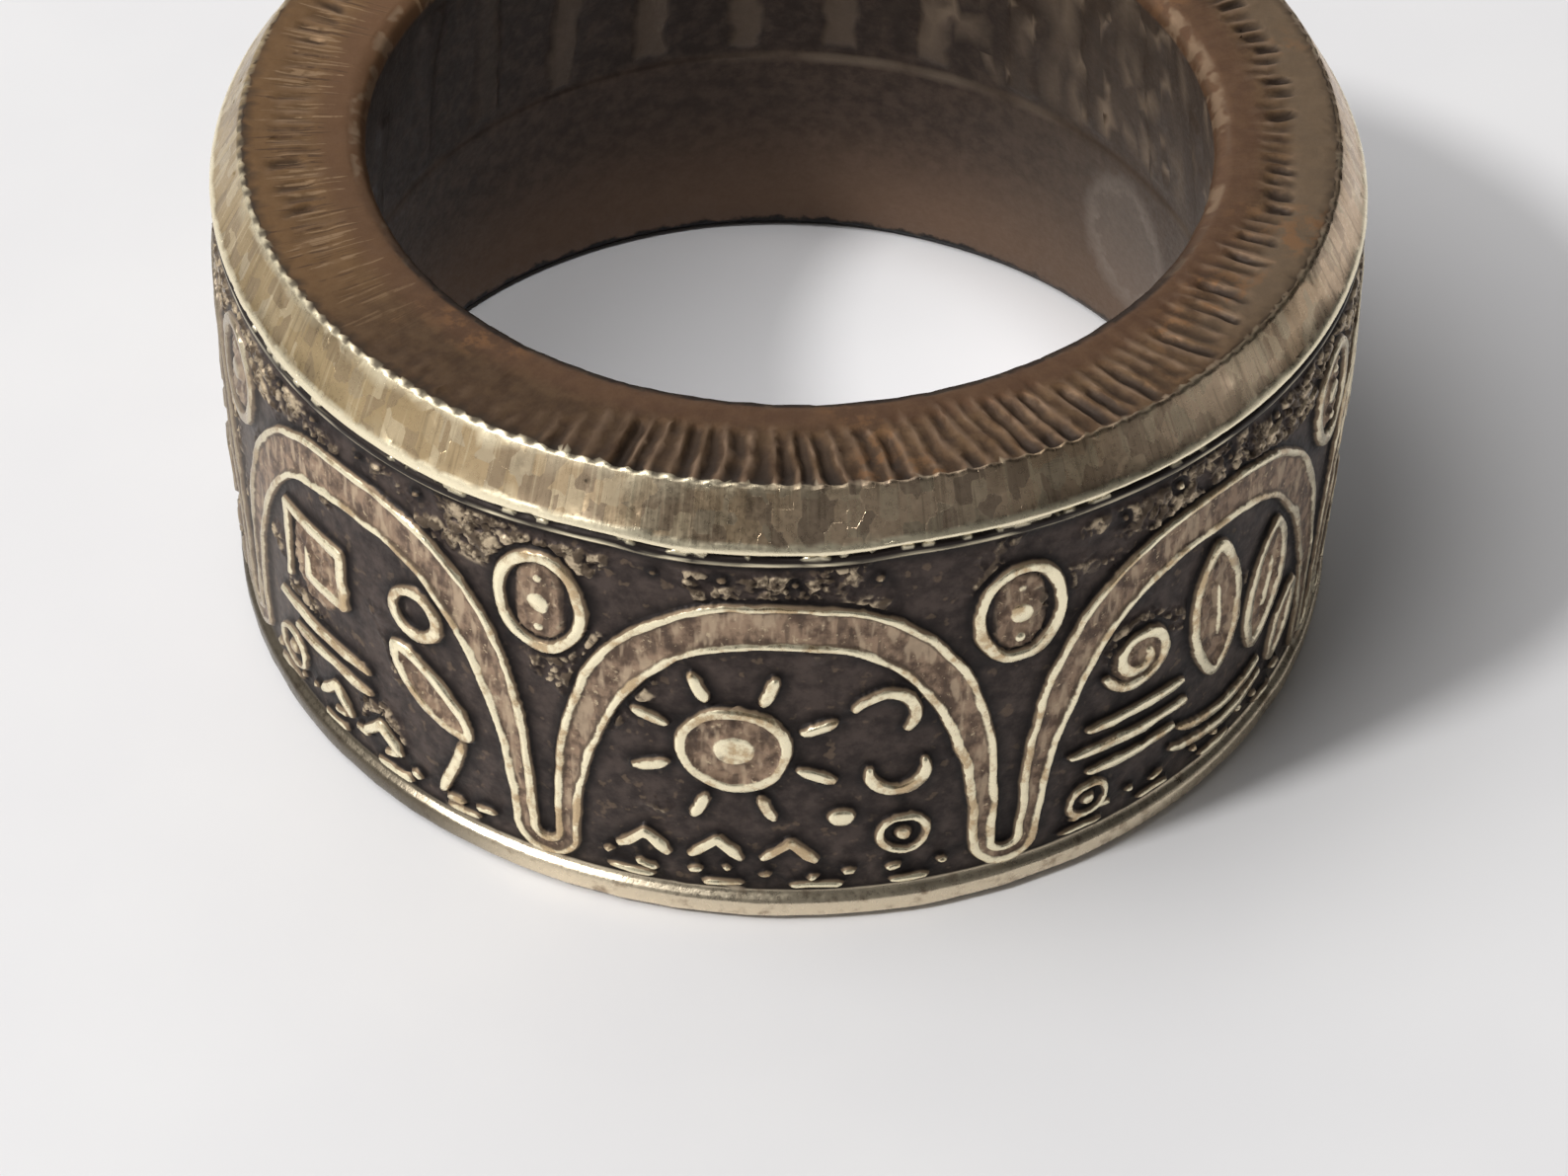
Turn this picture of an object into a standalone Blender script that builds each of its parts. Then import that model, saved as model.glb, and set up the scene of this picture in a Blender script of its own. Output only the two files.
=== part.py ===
"""Coin ring: one piece of metal, a coin worked into a finger ring.

The coin's milled edge has become the reeded face on top, its struck relief stands on the outer wall,
and the finger hollow flares towards the base.  Metres, +Z up along the finger, origin at the centre of
the flat base.
"""
import math

import bmesh
import bpy
from mathutils import Matrix, Vector

# Driving dimensions of the band, in metres
FINGER_RADIUS = 0.0096
HOLLOW_FLARE = 0.0016
FACE_WIDTH = 0.0029
FACE_DISH = 0.0001
INNER_ROUND = 0.0004
BAND_HEIGHT = 0.0126
BEVEL_WIDTH = 0.00074
BEVEL_DROP = 0.0012
GROOVE_WIDTH = 0.0002
GROOVE_DEPTH = 0.00014
RIDGE_WIDTH = 0.00015
GROUND_SINK = 0.00013
WALL_BELLY = 0.00024
BELLY_HEIGHT = 0.0042
RIM_HEIGHT = 0.00065
RIM_PROUD = 0.00018
RIM_CHAMFER = 0.0002

# The coin's reeds, cut across the top face
REED_COUNT = 168
REED_DEPTH = 0.00014
REED_LENGTH = 0.0019

# The struck relief
ARCH_COUNT = 8
RELIEF_HEIGHT = 0.00023
RIBBON_FLOOR = 0.00013
RIBBON_WIDTH_CROWN = 0.0013
RIBBON_WIDTH_FOOT = 0.00066
RIBBON_EDGE = 0.00026
FOOT_BEND_RADIUS = 0.00055
LINE_WIDTH = 0.00034
FINE_LINE_WIDTH = 0.00024
ROOT_DEPTH = 0.00012

# Worn remains of the coin's other side, on the upper half of the hollow
REMNANT_COUNT = 26
REMNANT_HEIGHT = 0.00007
REMNANT_WIDTH = 0.0006
HOLLOW_STEP_HEIGHT = 0.0063
HOLLOW_STEP = 0.00005

# What shapes the arches: shares of the field's height, and the exponents of their rounded curve
ARCH_SPRING_SHARE = 0.1
ARCH_CROWN_SHARE = 0.835
ARCH_SIDE_EXPONENT = 2.7
ARCH_CROWN_EXPONENT = 2.2

# One row for each motif in the four kinds of arch.  Across is a share of an arch's pitch from its
# middle, up and size are shares of the field's height, and turn is in degrees.
#    arch, motif, across, up, size, turn
MOTIFS = (
    (0, "wheel", -0.09, 0.47, 0.115, 0),
    (0, "crescent", 0.22, 0.57, 0.065, 30),
    (0, "crescent", 0.25, 0.40, 0.065, -115),
    (0, "ringed_bead", 0.27, 0.19, 0.055, 0),
    (0, "bead", 0.135, 0.26, 0.032, 0),
    (0, "chevron", -0.28, 0.15, 0.055, 0),
    (0, "chevron", -0.125, 0.15, 0.055, 0),
    (0, "chevron", 0.03, 0.15, 0.055, 0),
    (1, "leaf", 0.03, 0.52, 0.40, 5),
    (1, "leaf", 0.215, 0.46, 0.34, -10),
    (1, "leaf", 0.325, 0.25, 0.20, -20),
    (1, "volute", -0.20, 0.53, 0.09, 200),
    (1, "bar", -0.19, 0.36, 0.26, 0),
    (1, "bar", -0.20, 0.29, 0.32, 0),
    (1, "bar", -0.19, 0.22, 0.24, 0),
    (1, "ringed_bead", -0.30, 0.125, 0.05, 0),
    (1, "bow", 0.09, 0.165, 0.28, 180),
    (1, "bow", 0.09, 0.105, 0.32, 180),
    (2, "volute", -0.20, 0.58, 0.10, 250),
    (2, "volute", 0.02, 0.44, 0.10, 250),
    (2, "volute", 0.23, 0.30, 0.09, 250),
    (2, "leaf", 0.15, 0.64, 0.26, 52),
    (2, "bead", 0.26, 0.50, 0.034, 0),
    (2, "ringed_bead", -0.26, 0.31, 0.055, 0),
    (2, "bead", -0.13, 0.36, 0.028, 0),
    (2, "bar", -0.13, 0.20, 0.32, 0),
    (2, "bar", -0.13, 0.13, 0.42, 0),
    (2, "bead", 0.16, 0.13, 0.030, 0),
    (2, "bead", 0.27, 0.13, 0.030, 0),
    (3, "fret", -0.14, 0.51, 0.11, 0),
    (3, "ring", 0.19, 0.60, 0.062, 0),
    (3, "leaf", 0.22, 0.38, 0.27, 48),
    (3, "bar", -0.13, 0.31, 0.34, 0),
    (3, "bar", -0.10, 0.24, 0.28, 0),
    (3, "ringed_bead", -0.28, 0.13, 0.055, 0),
    (3, "chevron", -0.10, 0.13, 0.055, 0),
    (3, "chevron", 0.06, 0.13, 0.055, 0),
    (3, "bar", 0.27, 0.17, 0.20, 70),
)

# Small pellets over each arch, as across, up and radius in the same shares
PELLETS = ((-0.26, 0.955, 0.016), (-0.12, 0.962, 0.02), (0.03, 0.957, 0.016), (0.2, 0.96, 0.02))

# Short dashes that edge the field at its foot, as across and length in shares of an arch's pitch
DASHES = ((-0.31, 0.1), (-0.11, 0.08), (0.09, 0.1), (0.29, 0.08))
DASH_UP_SHARE = 0.035

# Sizes that follow from the driving ones
FACE_RADIUS = FINGER_RADIUS + FACE_WIDTH
BEVEL_FOOT_RADIUS = FACE_RADIUS + BEVEL_WIDTH
BEVEL_FOOT = BAND_HEIGHT - BEVEL_DROP
GROUND_RADIUS = BEVEL_FOOT_RADIUS - GROUND_SINK
FIELD_TOP = BEVEL_FOOT - GROOVE_WIDTH - 2.0 * RIDGE_WIDTH
FIELD_FOOT = RIM_HEIGHT + RIDGE_WIDTH
FIELD_HEIGHT = FIELD_TOP - FIELD_FOOT
BELLY_RADIUS = GROUND_RADIUS + WALL_BELLY
RIM_RADIUS = BELLY_RADIUS + RIM_PROUD
HOLLOW_FOOT_RADIUS = FINGER_RADIUS + HOLLOW_FLARE
ARCH_PITCH = 2.0 * math.pi * BELLY_RADIUS / ARCH_COUNT
BODY_STEPS = REED_COUNT // 3


def wall_radius(height):
    """Radius of the sunk ground: a shallow belly, widest at BELLY_HEIGHT."""
    share = (height - BELLY_HEIGHT) / (FIELD_TOP - BELLY_HEIGHT)
    return BELLY_RADIUS - WALL_BELLY * share * share


def hollow_radius(height):
    """Radius of the finger hollow, which narrows evenly from the base to the top."""
    return HOLLOW_FOOT_RADIUS - HOLLOW_FLARE * height / BAND_HEIGHT


def on_wall(across, up, out):
    """Place a point of the flat ornament on the outer wall, out metres above the ground."""
    height = FIELD_FOOT + up
    angle = across / BELLY_RADIUS - math.pi / 2.0
    radius = wall_radius(height) + out
    return Vector((radius * math.cos(angle), radius * math.sin(angle), height))


def clear_scene():
    for thing in list(bpy.data.objects):
        bpy.data.objects.remove(thing, do_unlink=True)


def new_collection(name):
    collection = bpy.data.collections.new(name)
    bpy.context.scene.collection.children.link(collection)
    return collection


def mesh_object(name, bm, collection):
    mesh = bpy.data.meshes.new(name)
    bm.to_mesh(mesh)
    bm.free()
    thing = bpy.data.objects.new(name, mesh)
    collection.objects.link(thing)
    return thing


def worn_brass():
    """Pale brass, darkened by age."""
    material = bpy.data.materials.new("worn_brass")
    material.use_nodes = True
    shader = material.node_tree.nodes["Principled BSDF"]
    shader.inputs["Base Color"].default_value = (0.25, 0.19, 0.12, 1.0)
    shader.inputs["Metallic"].default_value = 1.0
    shader.inputs["Roughness"].default_value = 0.42
    return material


def band_profile():
    """The band's closed section as (radius, height), from the face down the outside and back up."""
    face_top = BAND_HEIGHT
    face_inner = BAND_HEIGHT - FACE_DISH
    groove_bottom = BEVEL_FOOT - GROOVE_WIDTH / 2.0
    ridge_top = BEVEL_FOOT - GROOVE_WIDTH
    ridge_foot = ridge_top - RIDGE_WIDTH
    round_low = BAND_HEIGHT - FACE_DISH - INNER_ROUND
    round_bend = INNER_ROUND * (1.0 - math.sqrt(0.5))
    points = [
        (hollow_radius(round_low), round_low),
        (hollow_radius(round_low) + round_bend, face_inner - round_bend),
        (hollow_radius(round_low) + INNER_ROUND, face_inner),
        (FACE_RADIUS, face_top),
        (BEVEL_FOOT_RADIUS, BEVEL_FOOT),
        (BEVEL_FOOT_RADIUS - GROOVE_DEPTH, groove_bottom),
        (BEVEL_FOOT_RADIUS, ridge_top),
        (BEVEL_FOOT_RADIUS, ridge_foot),
    ]
    wall_rings = 3
    for ring in range(wall_rings + 1):
        height = FIELD_TOP + (FIELD_FOOT - FIELD_TOP) * ring / wall_rings
        points.append((wall_radius(height), height))
    points += [
        (RIM_RADIUS, RIM_HEIGHT),
        (RIM_RADIUS, RIM_CHAMFER),
        (RIM_RADIUS - RIM_CHAMFER, 0.0),
        (HOLLOW_FOOT_RADIUS, 0.0),
        (hollow_radius(HOLLOW_STEP_HEIGHT), HOLLOW_STEP_HEIGHT),
        (hollow_radius(HOLLOW_STEP_HEIGHT) + HOLLOW_STEP, HOLLOW_STEP_HEIGHT + HOLLOW_STEP),
    ]
    return points


def band_blank(collection):
    """The turned blank: the section swept round the finger's axis."""
    bm = bmesh.new()
    corners = [bm.verts.new((radius, 0.0, height)) for radius, height in band_profile()]
    for first, second in zip(corners, corners[1:] + corners[:1]):
        bm.edges.new((first, second))
    blank = mesh_object("ring_band", bm, collection)
    screw = blank.modifiers.new("turning", "SCREW")
    screw.axis = "Z"
    screw.angle = 2.0 * math.pi
    screw.steps = BODY_STEPS
    screw.render_steps = BODY_STEPS
    screw.use_merge_vertices = True
    screw.merge_threshold = 0.000001
    return blank


def reed_cutters(collection):
    """Thin four-sided spikes that lie along the face and cut one V-groove each, deepest outside."""
    overshoot = BEVEL_WIDTH / 2.0
    length = REED_LENGTH + overshoot
    slope = math.atan2(FACE_DISH, FACE_WIDTH - INNER_ROUND)
    bm = bmesh.new()
    for reed in range(REED_COUNT):
        angle = 2.0 * math.pi * (reed + 0.5) / REED_COUNT
        lay_down = Matrix.Rotation(-math.pi / 2.0 - slope, 4, "Y")
        middle = Vector((FACE_RADIUS + overshoot - length / 2.0, 0.0, BAND_HEIGHT))
        place = Matrix.Rotation(angle, 4, "Z") @ Matrix.Translation(middle) @ lay_down
        bmesh.ops.create_cone(
            bm, cap_ends=True, segments=4, radius1=REED_DEPTH, radius2=0.0, depth=length, matrix=place
        )
    return mesh_object("reed_cutters", bm, collection)


def sweep(bm, path, section, closed, lap=0.0):
    """Loft a raised bar along a flat path.

    path holds (across, up); section gives the bar's (aside, out) points for one path point.  A closed
    path that goes once round the ring comes back to its start one lap further across.
    """
    rings = []
    count = len(path)
    for index, (across, up) in enumerate(path):
        before = path[max(index - 1, 0)]
        after = path[min(index + 1, count - 1)]
        if closed and index == 0:
            before = (path[-1][0] - lap, path[-1][1])
        if closed and index == count - 1:
            after = (path[0][0] + lap, path[0][1])
        heading = Vector((after[0] - before[0], after[1] - before[1])).normalized()
        ring = []
        for aside, out in section(up):
            ring.append(bm.verts.new(on_wall(across - heading.y * aside, up + heading.x * aside, out)))
        rings.append(ring)
    links = list(zip(rings, rings[1:]))
    if closed:
        links.append((rings[-1], rings[0]))
    for here, there in links:
        for side in range(len(here)):
            nearby = (side + 1) % len(here)
            bm.faces.new((here[side], here[nearby], there[nearby], there[side]))
    if not closed:
        bm.faces.new(reversed(rings[0]))
        bm.faces.new(rings[-1])


def line_section(width):
    """A raised line: two sloping sides that meet in a crest, rooted under the ground."""
    foot = width * 0.5
    points = ((foot, -ROOT_DEPTH), (0.0, RELIEF_HEIGHT), (-foot, -ROOT_DEPTH))
    return lambda up: points


def ribbon_section(up):
    """The arches' ribbon: two raised edges with a lower floor between, wider at the crown."""
    span = ARCH_CROWN_SHARE - ARCH_SPRING_SHARE
    share = min(max((up / FIELD_HEIGHT - ARCH_SPRING_SHARE) / span, 0.0), 1.0)
    eased = share * share * (3.0 - 2.0 * share)
    half = (RIBBON_WIDTH_FOOT + (RIBBON_WIDTH_CROWN - RIBBON_WIDTH_FOOT) * eased) / 2.0
    right = (
        (half, -ROOT_DEPTH),
        (half - RIBBON_EDGE * 0.4, RELIEF_HEIGHT),
        (half - RIBBON_EDGE, RIBBON_FLOOR),
    )
    left = tuple((-aside, out) for aside, out in reversed(right))
    return right + left


def arch_path():
    """Centre line of the ribbon once round the ring: tall arches joined by small bends at their feet."""
    crown_steps = 12
    bend_steps = 4
    half_span = ARCH_PITCH / 2.0 - FOOT_BEND_RADIUS
    spring = ARCH_SPRING_SHARE * FIELD_HEIGHT
    rise = (ARCH_CROWN_SHARE - ARCH_SPRING_SHARE) * FIELD_HEIGHT
    path = []
    for arch in range(ARCH_COUNT):
        middle = arch * ARCH_PITCH
        for step in range(crown_steps + 1):
            turn = math.pi * step / crown_steps
            side = -math.copysign(abs(math.cos(turn)) ** (2.0 / ARCH_SIDE_EXPONENT), math.cos(turn))
            lift = max(math.sin(turn), 0.0) ** (2.0 / ARCH_CROWN_EXPONENT)
            path.append((middle + half_span * side, spring + rise * lift))
        for step in range(1, bend_steps):
            turn = math.pi * step / bend_steps
            across = middle + ARCH_PITCH / 2.0 - FOOT_BEND_RADIUS * math.cos(turn)
            path.append((across, spring - FOOT_BEND_RADIUS * math.sin(turn)))
    return path


def turned(points, across, up, turn):
    """Turn local points by some degrees and move them to their place."""
    angle = math.radians(turn)
    cosine = math.cos(angle)
    sine = math.sin(angle)
    return [(across + x * cosine - y * sine, up + x * sine + y * cosine) for x, y in points]


def circle(radius, steps):
    return [
        (radius * math.cos(2.0 * math.pi * step / steps), radius * math.sin(2.0 * math.pi * step / steps))
        for step in range(steps)
    ]


def arc(radius, first, last, steps):
    angles = [math.radians(first + (last - first) * step / steps) for step in range(steps + 1)]
    return [(radius * math.cos(angle), radius * math.sin(angle)) for angle in angles]


def raise_line(bm, points, place, width, closed=False):
    sweep(bm, turned(points, *place), line_section(width), closed)


def raise_bead(bm, across, up, radius, sides=6):
    """A low round bead: a short cone with a narrower flat top."""
    depth = ROOT_DEPTH + RELIEF_HEIGHT
    made = bmesh.ops.create_cone(
        bm, cap_ends=True, segments=sides, radius1=radius, radius2=radius * 0.6, depth=depth
    )
    for vert in made["verts"]:
        out = vert.co.z + depth / 2.0 - ROOT_DEPTH
        vert.co = on_wall(across + vert.co.x, up + vert.co.y, out)


def raise_ring(bm, across, up, size, turn):
    raise_line(bm, circle(size, 9), (across, up, turn), LINE_WIDTH, closed=True)


def raise_ringed_bead(bm, across, up, size, turn):
    raise_line(bm, circle(size, 8), (across, up, turn), FINE_LINE_WIDTH, closed=True)
    raise_bead(bm, across, up, size * 0.45)


def raise_plain_bead(bm, across, up, size, turn):
    raise_bead(bm, across, up, size, sides=8)


def raise_bar(bm, across, up, size, turn):
    half = size / 2.0
    raise_line(bm, [(-half, 0.0), (half, 0.0)], (across, up, turn), LINE_WIDTH)


def raise_bow(bm, across, up, size, turn):
    """A shallow arc, its chord as long as size."""
    half_angle = 28.0
    radius = size / 2.0 / math.sin(math.radians(half_angle))
    points = [(x, y - radius) for x, y in arc(radius, 90.0 + half_angle, 90.0 - half_angle, 4)]
    raise_line(bm, points, (across, up, turn), LINE_WIDTH)


def raise_crescent(bm, across, up, size, turn):
    raise_line(bm, arc(size, 130.0, -70.0, 6), (across, up, turn), LINE_WIDTH)


def raise_chevron(bm, across, up, size, turn):
    points = [(-size, -size / 2.0), (0.0, size / 2.0), (size, -size / 2.0)]
    raise_line(bm, points, (across, up, turn), LINE_WIDTH)


def raise_leaf(bm, across, up, size, turn):
    """A pointed leaf in outline, with a short vein in the long ones."""
    half_width_share = 0.18
    half_width = size * half_width_share
    steps = 8
    points = []
    for step in range(steps):
        angle = 2.0 * math.pi * step / steps
        bulge = math.copysign(abs(math.sin(angle)) ** 1.3, math.sin(angle))
        points.append((half_width * bulge, size / 2.0 * math.cos(angle)))
    raise_line(bm, points, (across, up, turn), LINE_WIDTH, closed=True)
    if half_width > LINE_WIDTH * 1.6:
        vein = [(0.0, -size * 0.2), (0.0, size * 0.2)]
        raise_line(bm, vein, (across, up, turn), FINE_LINE_WIDTH)


def raise_volute(bm, across, up, size, turn):
    """A spiral that winds inwards one turn and a half."""
    steps = 11
    narrowing = 0.72
    points = []
    for step in range(steps + 1):
        share = step / steps
        angle = 3.0 * math.pi * share
        radius = size * (1.0 - narrowing * share)
        points.append((radius * math.cos(angle), radius * math.sin(angle)))
    raise_line(bm, points, (across, up, turn), LINE_WIDTH)


def raise_fret(bm, across, up, size, turn):
    """A squared spiral, as on a key border."""
    shares = ((-1.0, -1.0), (-1.0, 1.0), (1.0, 1.0), (1.0, -0.4), (-0.2, -0.4), (-0.2, 0.35))
    points = [(x * size, y * size) for x, y in shares]
    raise_line(bm, points, (across, up, turn), LINE_WIDTH)


def raise_wheel(bm, across, up, size, turn):
    """A ringed boss with short rays."""
    raise_line(bm, circle(size, 9), (across, up, turn), LINE_WIDTH, closed=True)
    raise_bead(bm, across, up, size * 0.45, sides=8)
    rays = 8
    for ray in range(rays):
        spoke = [(size * 1.4, 0.0), (size * 2.0, 0.0)]
        raise_line(bm, spoke, (across, up, turn + 22.5 + 360.0 * ray / rays), LINE_WIDTH)


def raise_medallion(bm, across, up):
    """The oval ring between two arches, with a bead and two pellets inside."""
    half_width_share = 0.092
    half_height_share = 0.125
    half_width = ARCH_PITCH * half_width_share
    half_height = FIELD_HEIGHT * half_height_share
    points = [(x * half_width, y * half_height) for x, y in circle(1.0, 10)]
    raise_line(bm, points, (across, up, 0.0), LINE_WIDTH, closed=True)
    raise_bead(bm, across, up, LINE_WIDTH * 0.9)
    for side in (-1.0, 1.0):
        raise_bead(bm, across, up + side * half_height * 0.55, LINE_WIDTH * 0.5, sides=5)


MAKERS = {
    "bar": raise_bar,
    "bead": raise_plain_bead,
    "bow": raise_bow,
    "chevron": raise_chevron,
    "crescent": raise_crescent,
    "fret": raise_fret,
    "leaf": raise_leaf,
    "ring": raise_ring,
    "ringed_bead": raise_ringed_bead,
    "volute": raise_volute,
    "wheel": raise_wheel,
}


def struck_relief(collection):
    """All of the raised ornament on the outer wall, as closed bars and beads rooted in the ground."""
    kinds = 1 + max(row[0] for row in MOTIFS)
    bm = bmesh.new()
    sweep(bm, arch_path(), ribbon_section, closed=True, lap=ARCH_COUNT * ARCH_PITCH)
    for arch in range(ARCH_COUNT):
        middle = arch * ARCH_PITCH
        for kind, motif, across, up, size, turn in MOTIFS:
            if kind == arch % kinds:
                place = middle + across * ARCH_PITCH
                MAKERS[motif](bm, place, up * FIELD_HEIGHT, size * FIELD_HEIGHT, turn)
        raise_medallion(bm, middle + ARCH_PITCH / 2.0, FIELD_HEIGHT * 0.8)
        for across, up, size in PELLETS:
            raise_bead(bm, middle + across * ARCH_PITCH, up * FIELD_HEIGHT, size * FIELD_HEIGHT, sides=5)
        for across, length in DASHES:
            half = length * ARCH_PITCH / 2.0
            line = [(-half, 0.0), (half, 0.0)]
            place = (middle + across * ARCH_PITCH, DASH_UP_SHARE * FIELD_HEIGHT, 0.0)
            raise_line(bm, line, place, FINE_LINE_WIDTH)
    bmesh.ops.recalc_face_normals(bm, faces=bm.faces)
    return mesh_object("struck_relief", bm, collection)


def hollow_remnants(collection):
    """Low upright blocks, all that wear has left of the coin's other side."""
    lowest = HOLLOW_STEP_HEIGHT + 6.0 * HOLLOW_STEP
    tallest = BAND_HEIGHT - FACE_DISH - INNER_ROUND - lowest
    shortest_share = 0.55
    uneven_share = 0.4
    bm = bmesh.new()
    for block in range(REMNANT_COUNT):
        angle = 2.0 * math.pi * block / REMNANT_COUNT
        share = shortest_share + uneven_share * math.sin(2.4 * block) ** 2
        made = bmesh.ops.create_cube(bm, size=1.0)
        for vert in made["verts"]:
            height = lowest + (vert.co.z + 0.5) * tallest * share
            into = REMNANT_HEIGHT if vert.co.x < 0.0 else -ROOT_DEPTH
            radius = hollow_radius(height) - into
            aside = vert.co.y * REMNANT_WIDTH / radius
            vert.co = (radius * math.cos(angle + aside), radius * math.sin(angle + aside), height)
    bmesh.ops.recalc_face_normals(bm, faces=bm.faces)
    return mesh_object("hollow_remnants", bm, collection)


def combine(band, name, operation, other):
    """Cut the band by another mesh, or weld that mesh onto it."""
    other.hide_render = True
    other.display_type = "WIRE"
    boolean = band.modifiers.new(name, "BOOLEAN")
    boolean.operation = operation
    boolean.solver = "EXACT"
    boolean.object = other


def main():
    clear_scene()
    parts = new_collection("coin_ring")
    tools = new_collection("coin_ring_tools")
    band = band_blank(parts)
    combine(band, "reeds", "DIFFERENCE", reed_cutters(tools))
    combine(band, "relief", "UNION", struck_relief(tools))
    combine(band, "remnants", "UNION", hollow_remnants(tools))
    band.data.materials.append(worn_brass())


main()
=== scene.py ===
import math
import random

import bpy
from mathutils import Matrix, Vector


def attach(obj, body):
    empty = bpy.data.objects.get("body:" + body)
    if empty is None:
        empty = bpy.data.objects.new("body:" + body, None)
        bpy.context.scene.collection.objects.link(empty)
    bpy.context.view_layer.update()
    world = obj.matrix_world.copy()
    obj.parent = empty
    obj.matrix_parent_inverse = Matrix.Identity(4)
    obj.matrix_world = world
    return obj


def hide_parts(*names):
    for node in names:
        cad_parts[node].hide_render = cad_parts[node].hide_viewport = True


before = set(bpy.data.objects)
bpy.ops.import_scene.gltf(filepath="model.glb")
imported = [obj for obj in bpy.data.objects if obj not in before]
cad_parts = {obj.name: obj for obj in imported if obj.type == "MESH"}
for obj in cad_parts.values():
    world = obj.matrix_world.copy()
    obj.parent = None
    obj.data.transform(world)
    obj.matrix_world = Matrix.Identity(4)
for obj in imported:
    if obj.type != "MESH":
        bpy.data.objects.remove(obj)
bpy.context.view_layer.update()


# Camera
# A phone held close over the table, looking down at half a right angle from the front.
# The ring's far side runs out of the picture at the top.
PICTURE_WIDTH = 1588
FOCAL_LENGTH_PIXELS = 3725.0
SENSOR_WIDTH = 36.0
CAMERA_DISTANCE = 0.09065
CAMERA_ELEVATION = math.radians(44.985)
CAMERA_ROLL = 0.0206
AIM = Vector((0.000075, -0.002854, 0.0))


def in_scene(name, data):
    """Put an object that holds some data into the scene."""
    holder = bpy.data.objects.new(name, data)
    bpy.context.scene.collection.objects.link(holder)
    return holder


toward_camera = Vector((0.0, -math.cos(CAMERA_ELEVATION), math.sin(CAMERA_ELEVATION)))
level_right = Vector((1.0, 0.0, 0.0))
level_up = toward_camera.cross(level_right)
rolled_right = level_right * math.cos(CAMERA_ROLL) + level_up * math.sin(CAMERA_ROLL)
rolled_up = toward_camera.cross(rolled_right)
camera = in_scene("camera", bpy.data.cameras.new("camera"))
camera.data.sensor_fit = "HORIZONTAL"
camera.data.sensor_width = SENSOR_WIDTH
camera.data.lens = FOCAL_LENGTH_PIXELS / PICTURE_WIDTH * SENSOR_WIDTH
camera.data.clip_start = 0.002
camera.data.clip_end = 20.0
camera_turn = Matrix((rolled_right, rolled_up, toward_camera)).transposed()
camera.matrix_world = Matrix.LocRotScale(AIM + toward_camera * CAMERA_DISTANCE, camera_turn, None)
bpy.context.scene.camera = camera


# The section that the band is turned to
# One piece of brass, a coin with its middle punched out and its edge folded up over a mandrel.
# The milled edge is the flat face on top, the bevel and the grooved border below it are the coin's
# rim, and the finger hollow narrows upwards.
FINGER_RADIUS = 0.0096
HOLLOW_FLARE = 0.0016
FACE_WIDTH = 0.0029
FACE_DISH = 0.0001
INNER_ROUND = 0.0004
BAND_HEIGHT = 0.0126
BEVEL_WIDTH = 0.00074
BEVEL_DROP = 0.0012
GROOVE_WIDTH = 0.0002
GROOVE_DEPTH = 0.00014
RIDGE_WIDTH = 0.00015
GROUND_SINK = 0.00013
WALL_BELLY = 0.00024
BELLY_HEIGHT = 0.0042
RIM_HEIGHT = 0.00065
RIM_PROUD = 0.00018
RIM_CHAMFER = 0.0002
HOLLOW_STEP_HEIGHT = 0.0063
HOLLOW_STEP = 0.00005

FACE_RADIUS = FINGER_RADIUS + FACE_WIDTH
BEVEL_FOOT_RADIUS = FACE_RADIUS + BEVEL_WIDTH
BEVEL_FOOT = BAND_HEIGHT - BEVEL_DROP
FIELD_TOP = BEVEL_FOOT - GROOVE_WIDTH - 2.0 * RIDGE_WIDTH
FIELD_FOOT = RIM_HEIGHT + RIDGE_WIDTH
FIELD_HEIGHT = FIELD_TOP - FIELD_FOOT
BELLY_RADIUS = BEVEL_FOOT_RADIUS - GROUND_SINK + WALL_BELLY
RIM_RADIUS = BELLY_RADIUS + RIM_PROUD
HOLLOW_FOOT_RADIUS = FINGER_RADIUS + HOLLOW_FLARE

# The section's zones, in order from the hollow's top edge outwards and down
ROUND, FACE, BEVEL, BORDER, WALL, RIM, BASE, HOLLOW = range(8)


def wall_radius(height):
    """The sunk ground is a shallow belly."""
    share = (height - BELLY_HEIGHT) / (FIELD_TOP - BELLY_HEIGHT)
    return BELLY_RADIUS - WALL_BELLY * share * share


def hollow_radius(height):
    return HOLLOW_FOOT_RADIUS - HOLLOW_FLARE * height / BAND_HEIGHT


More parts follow.
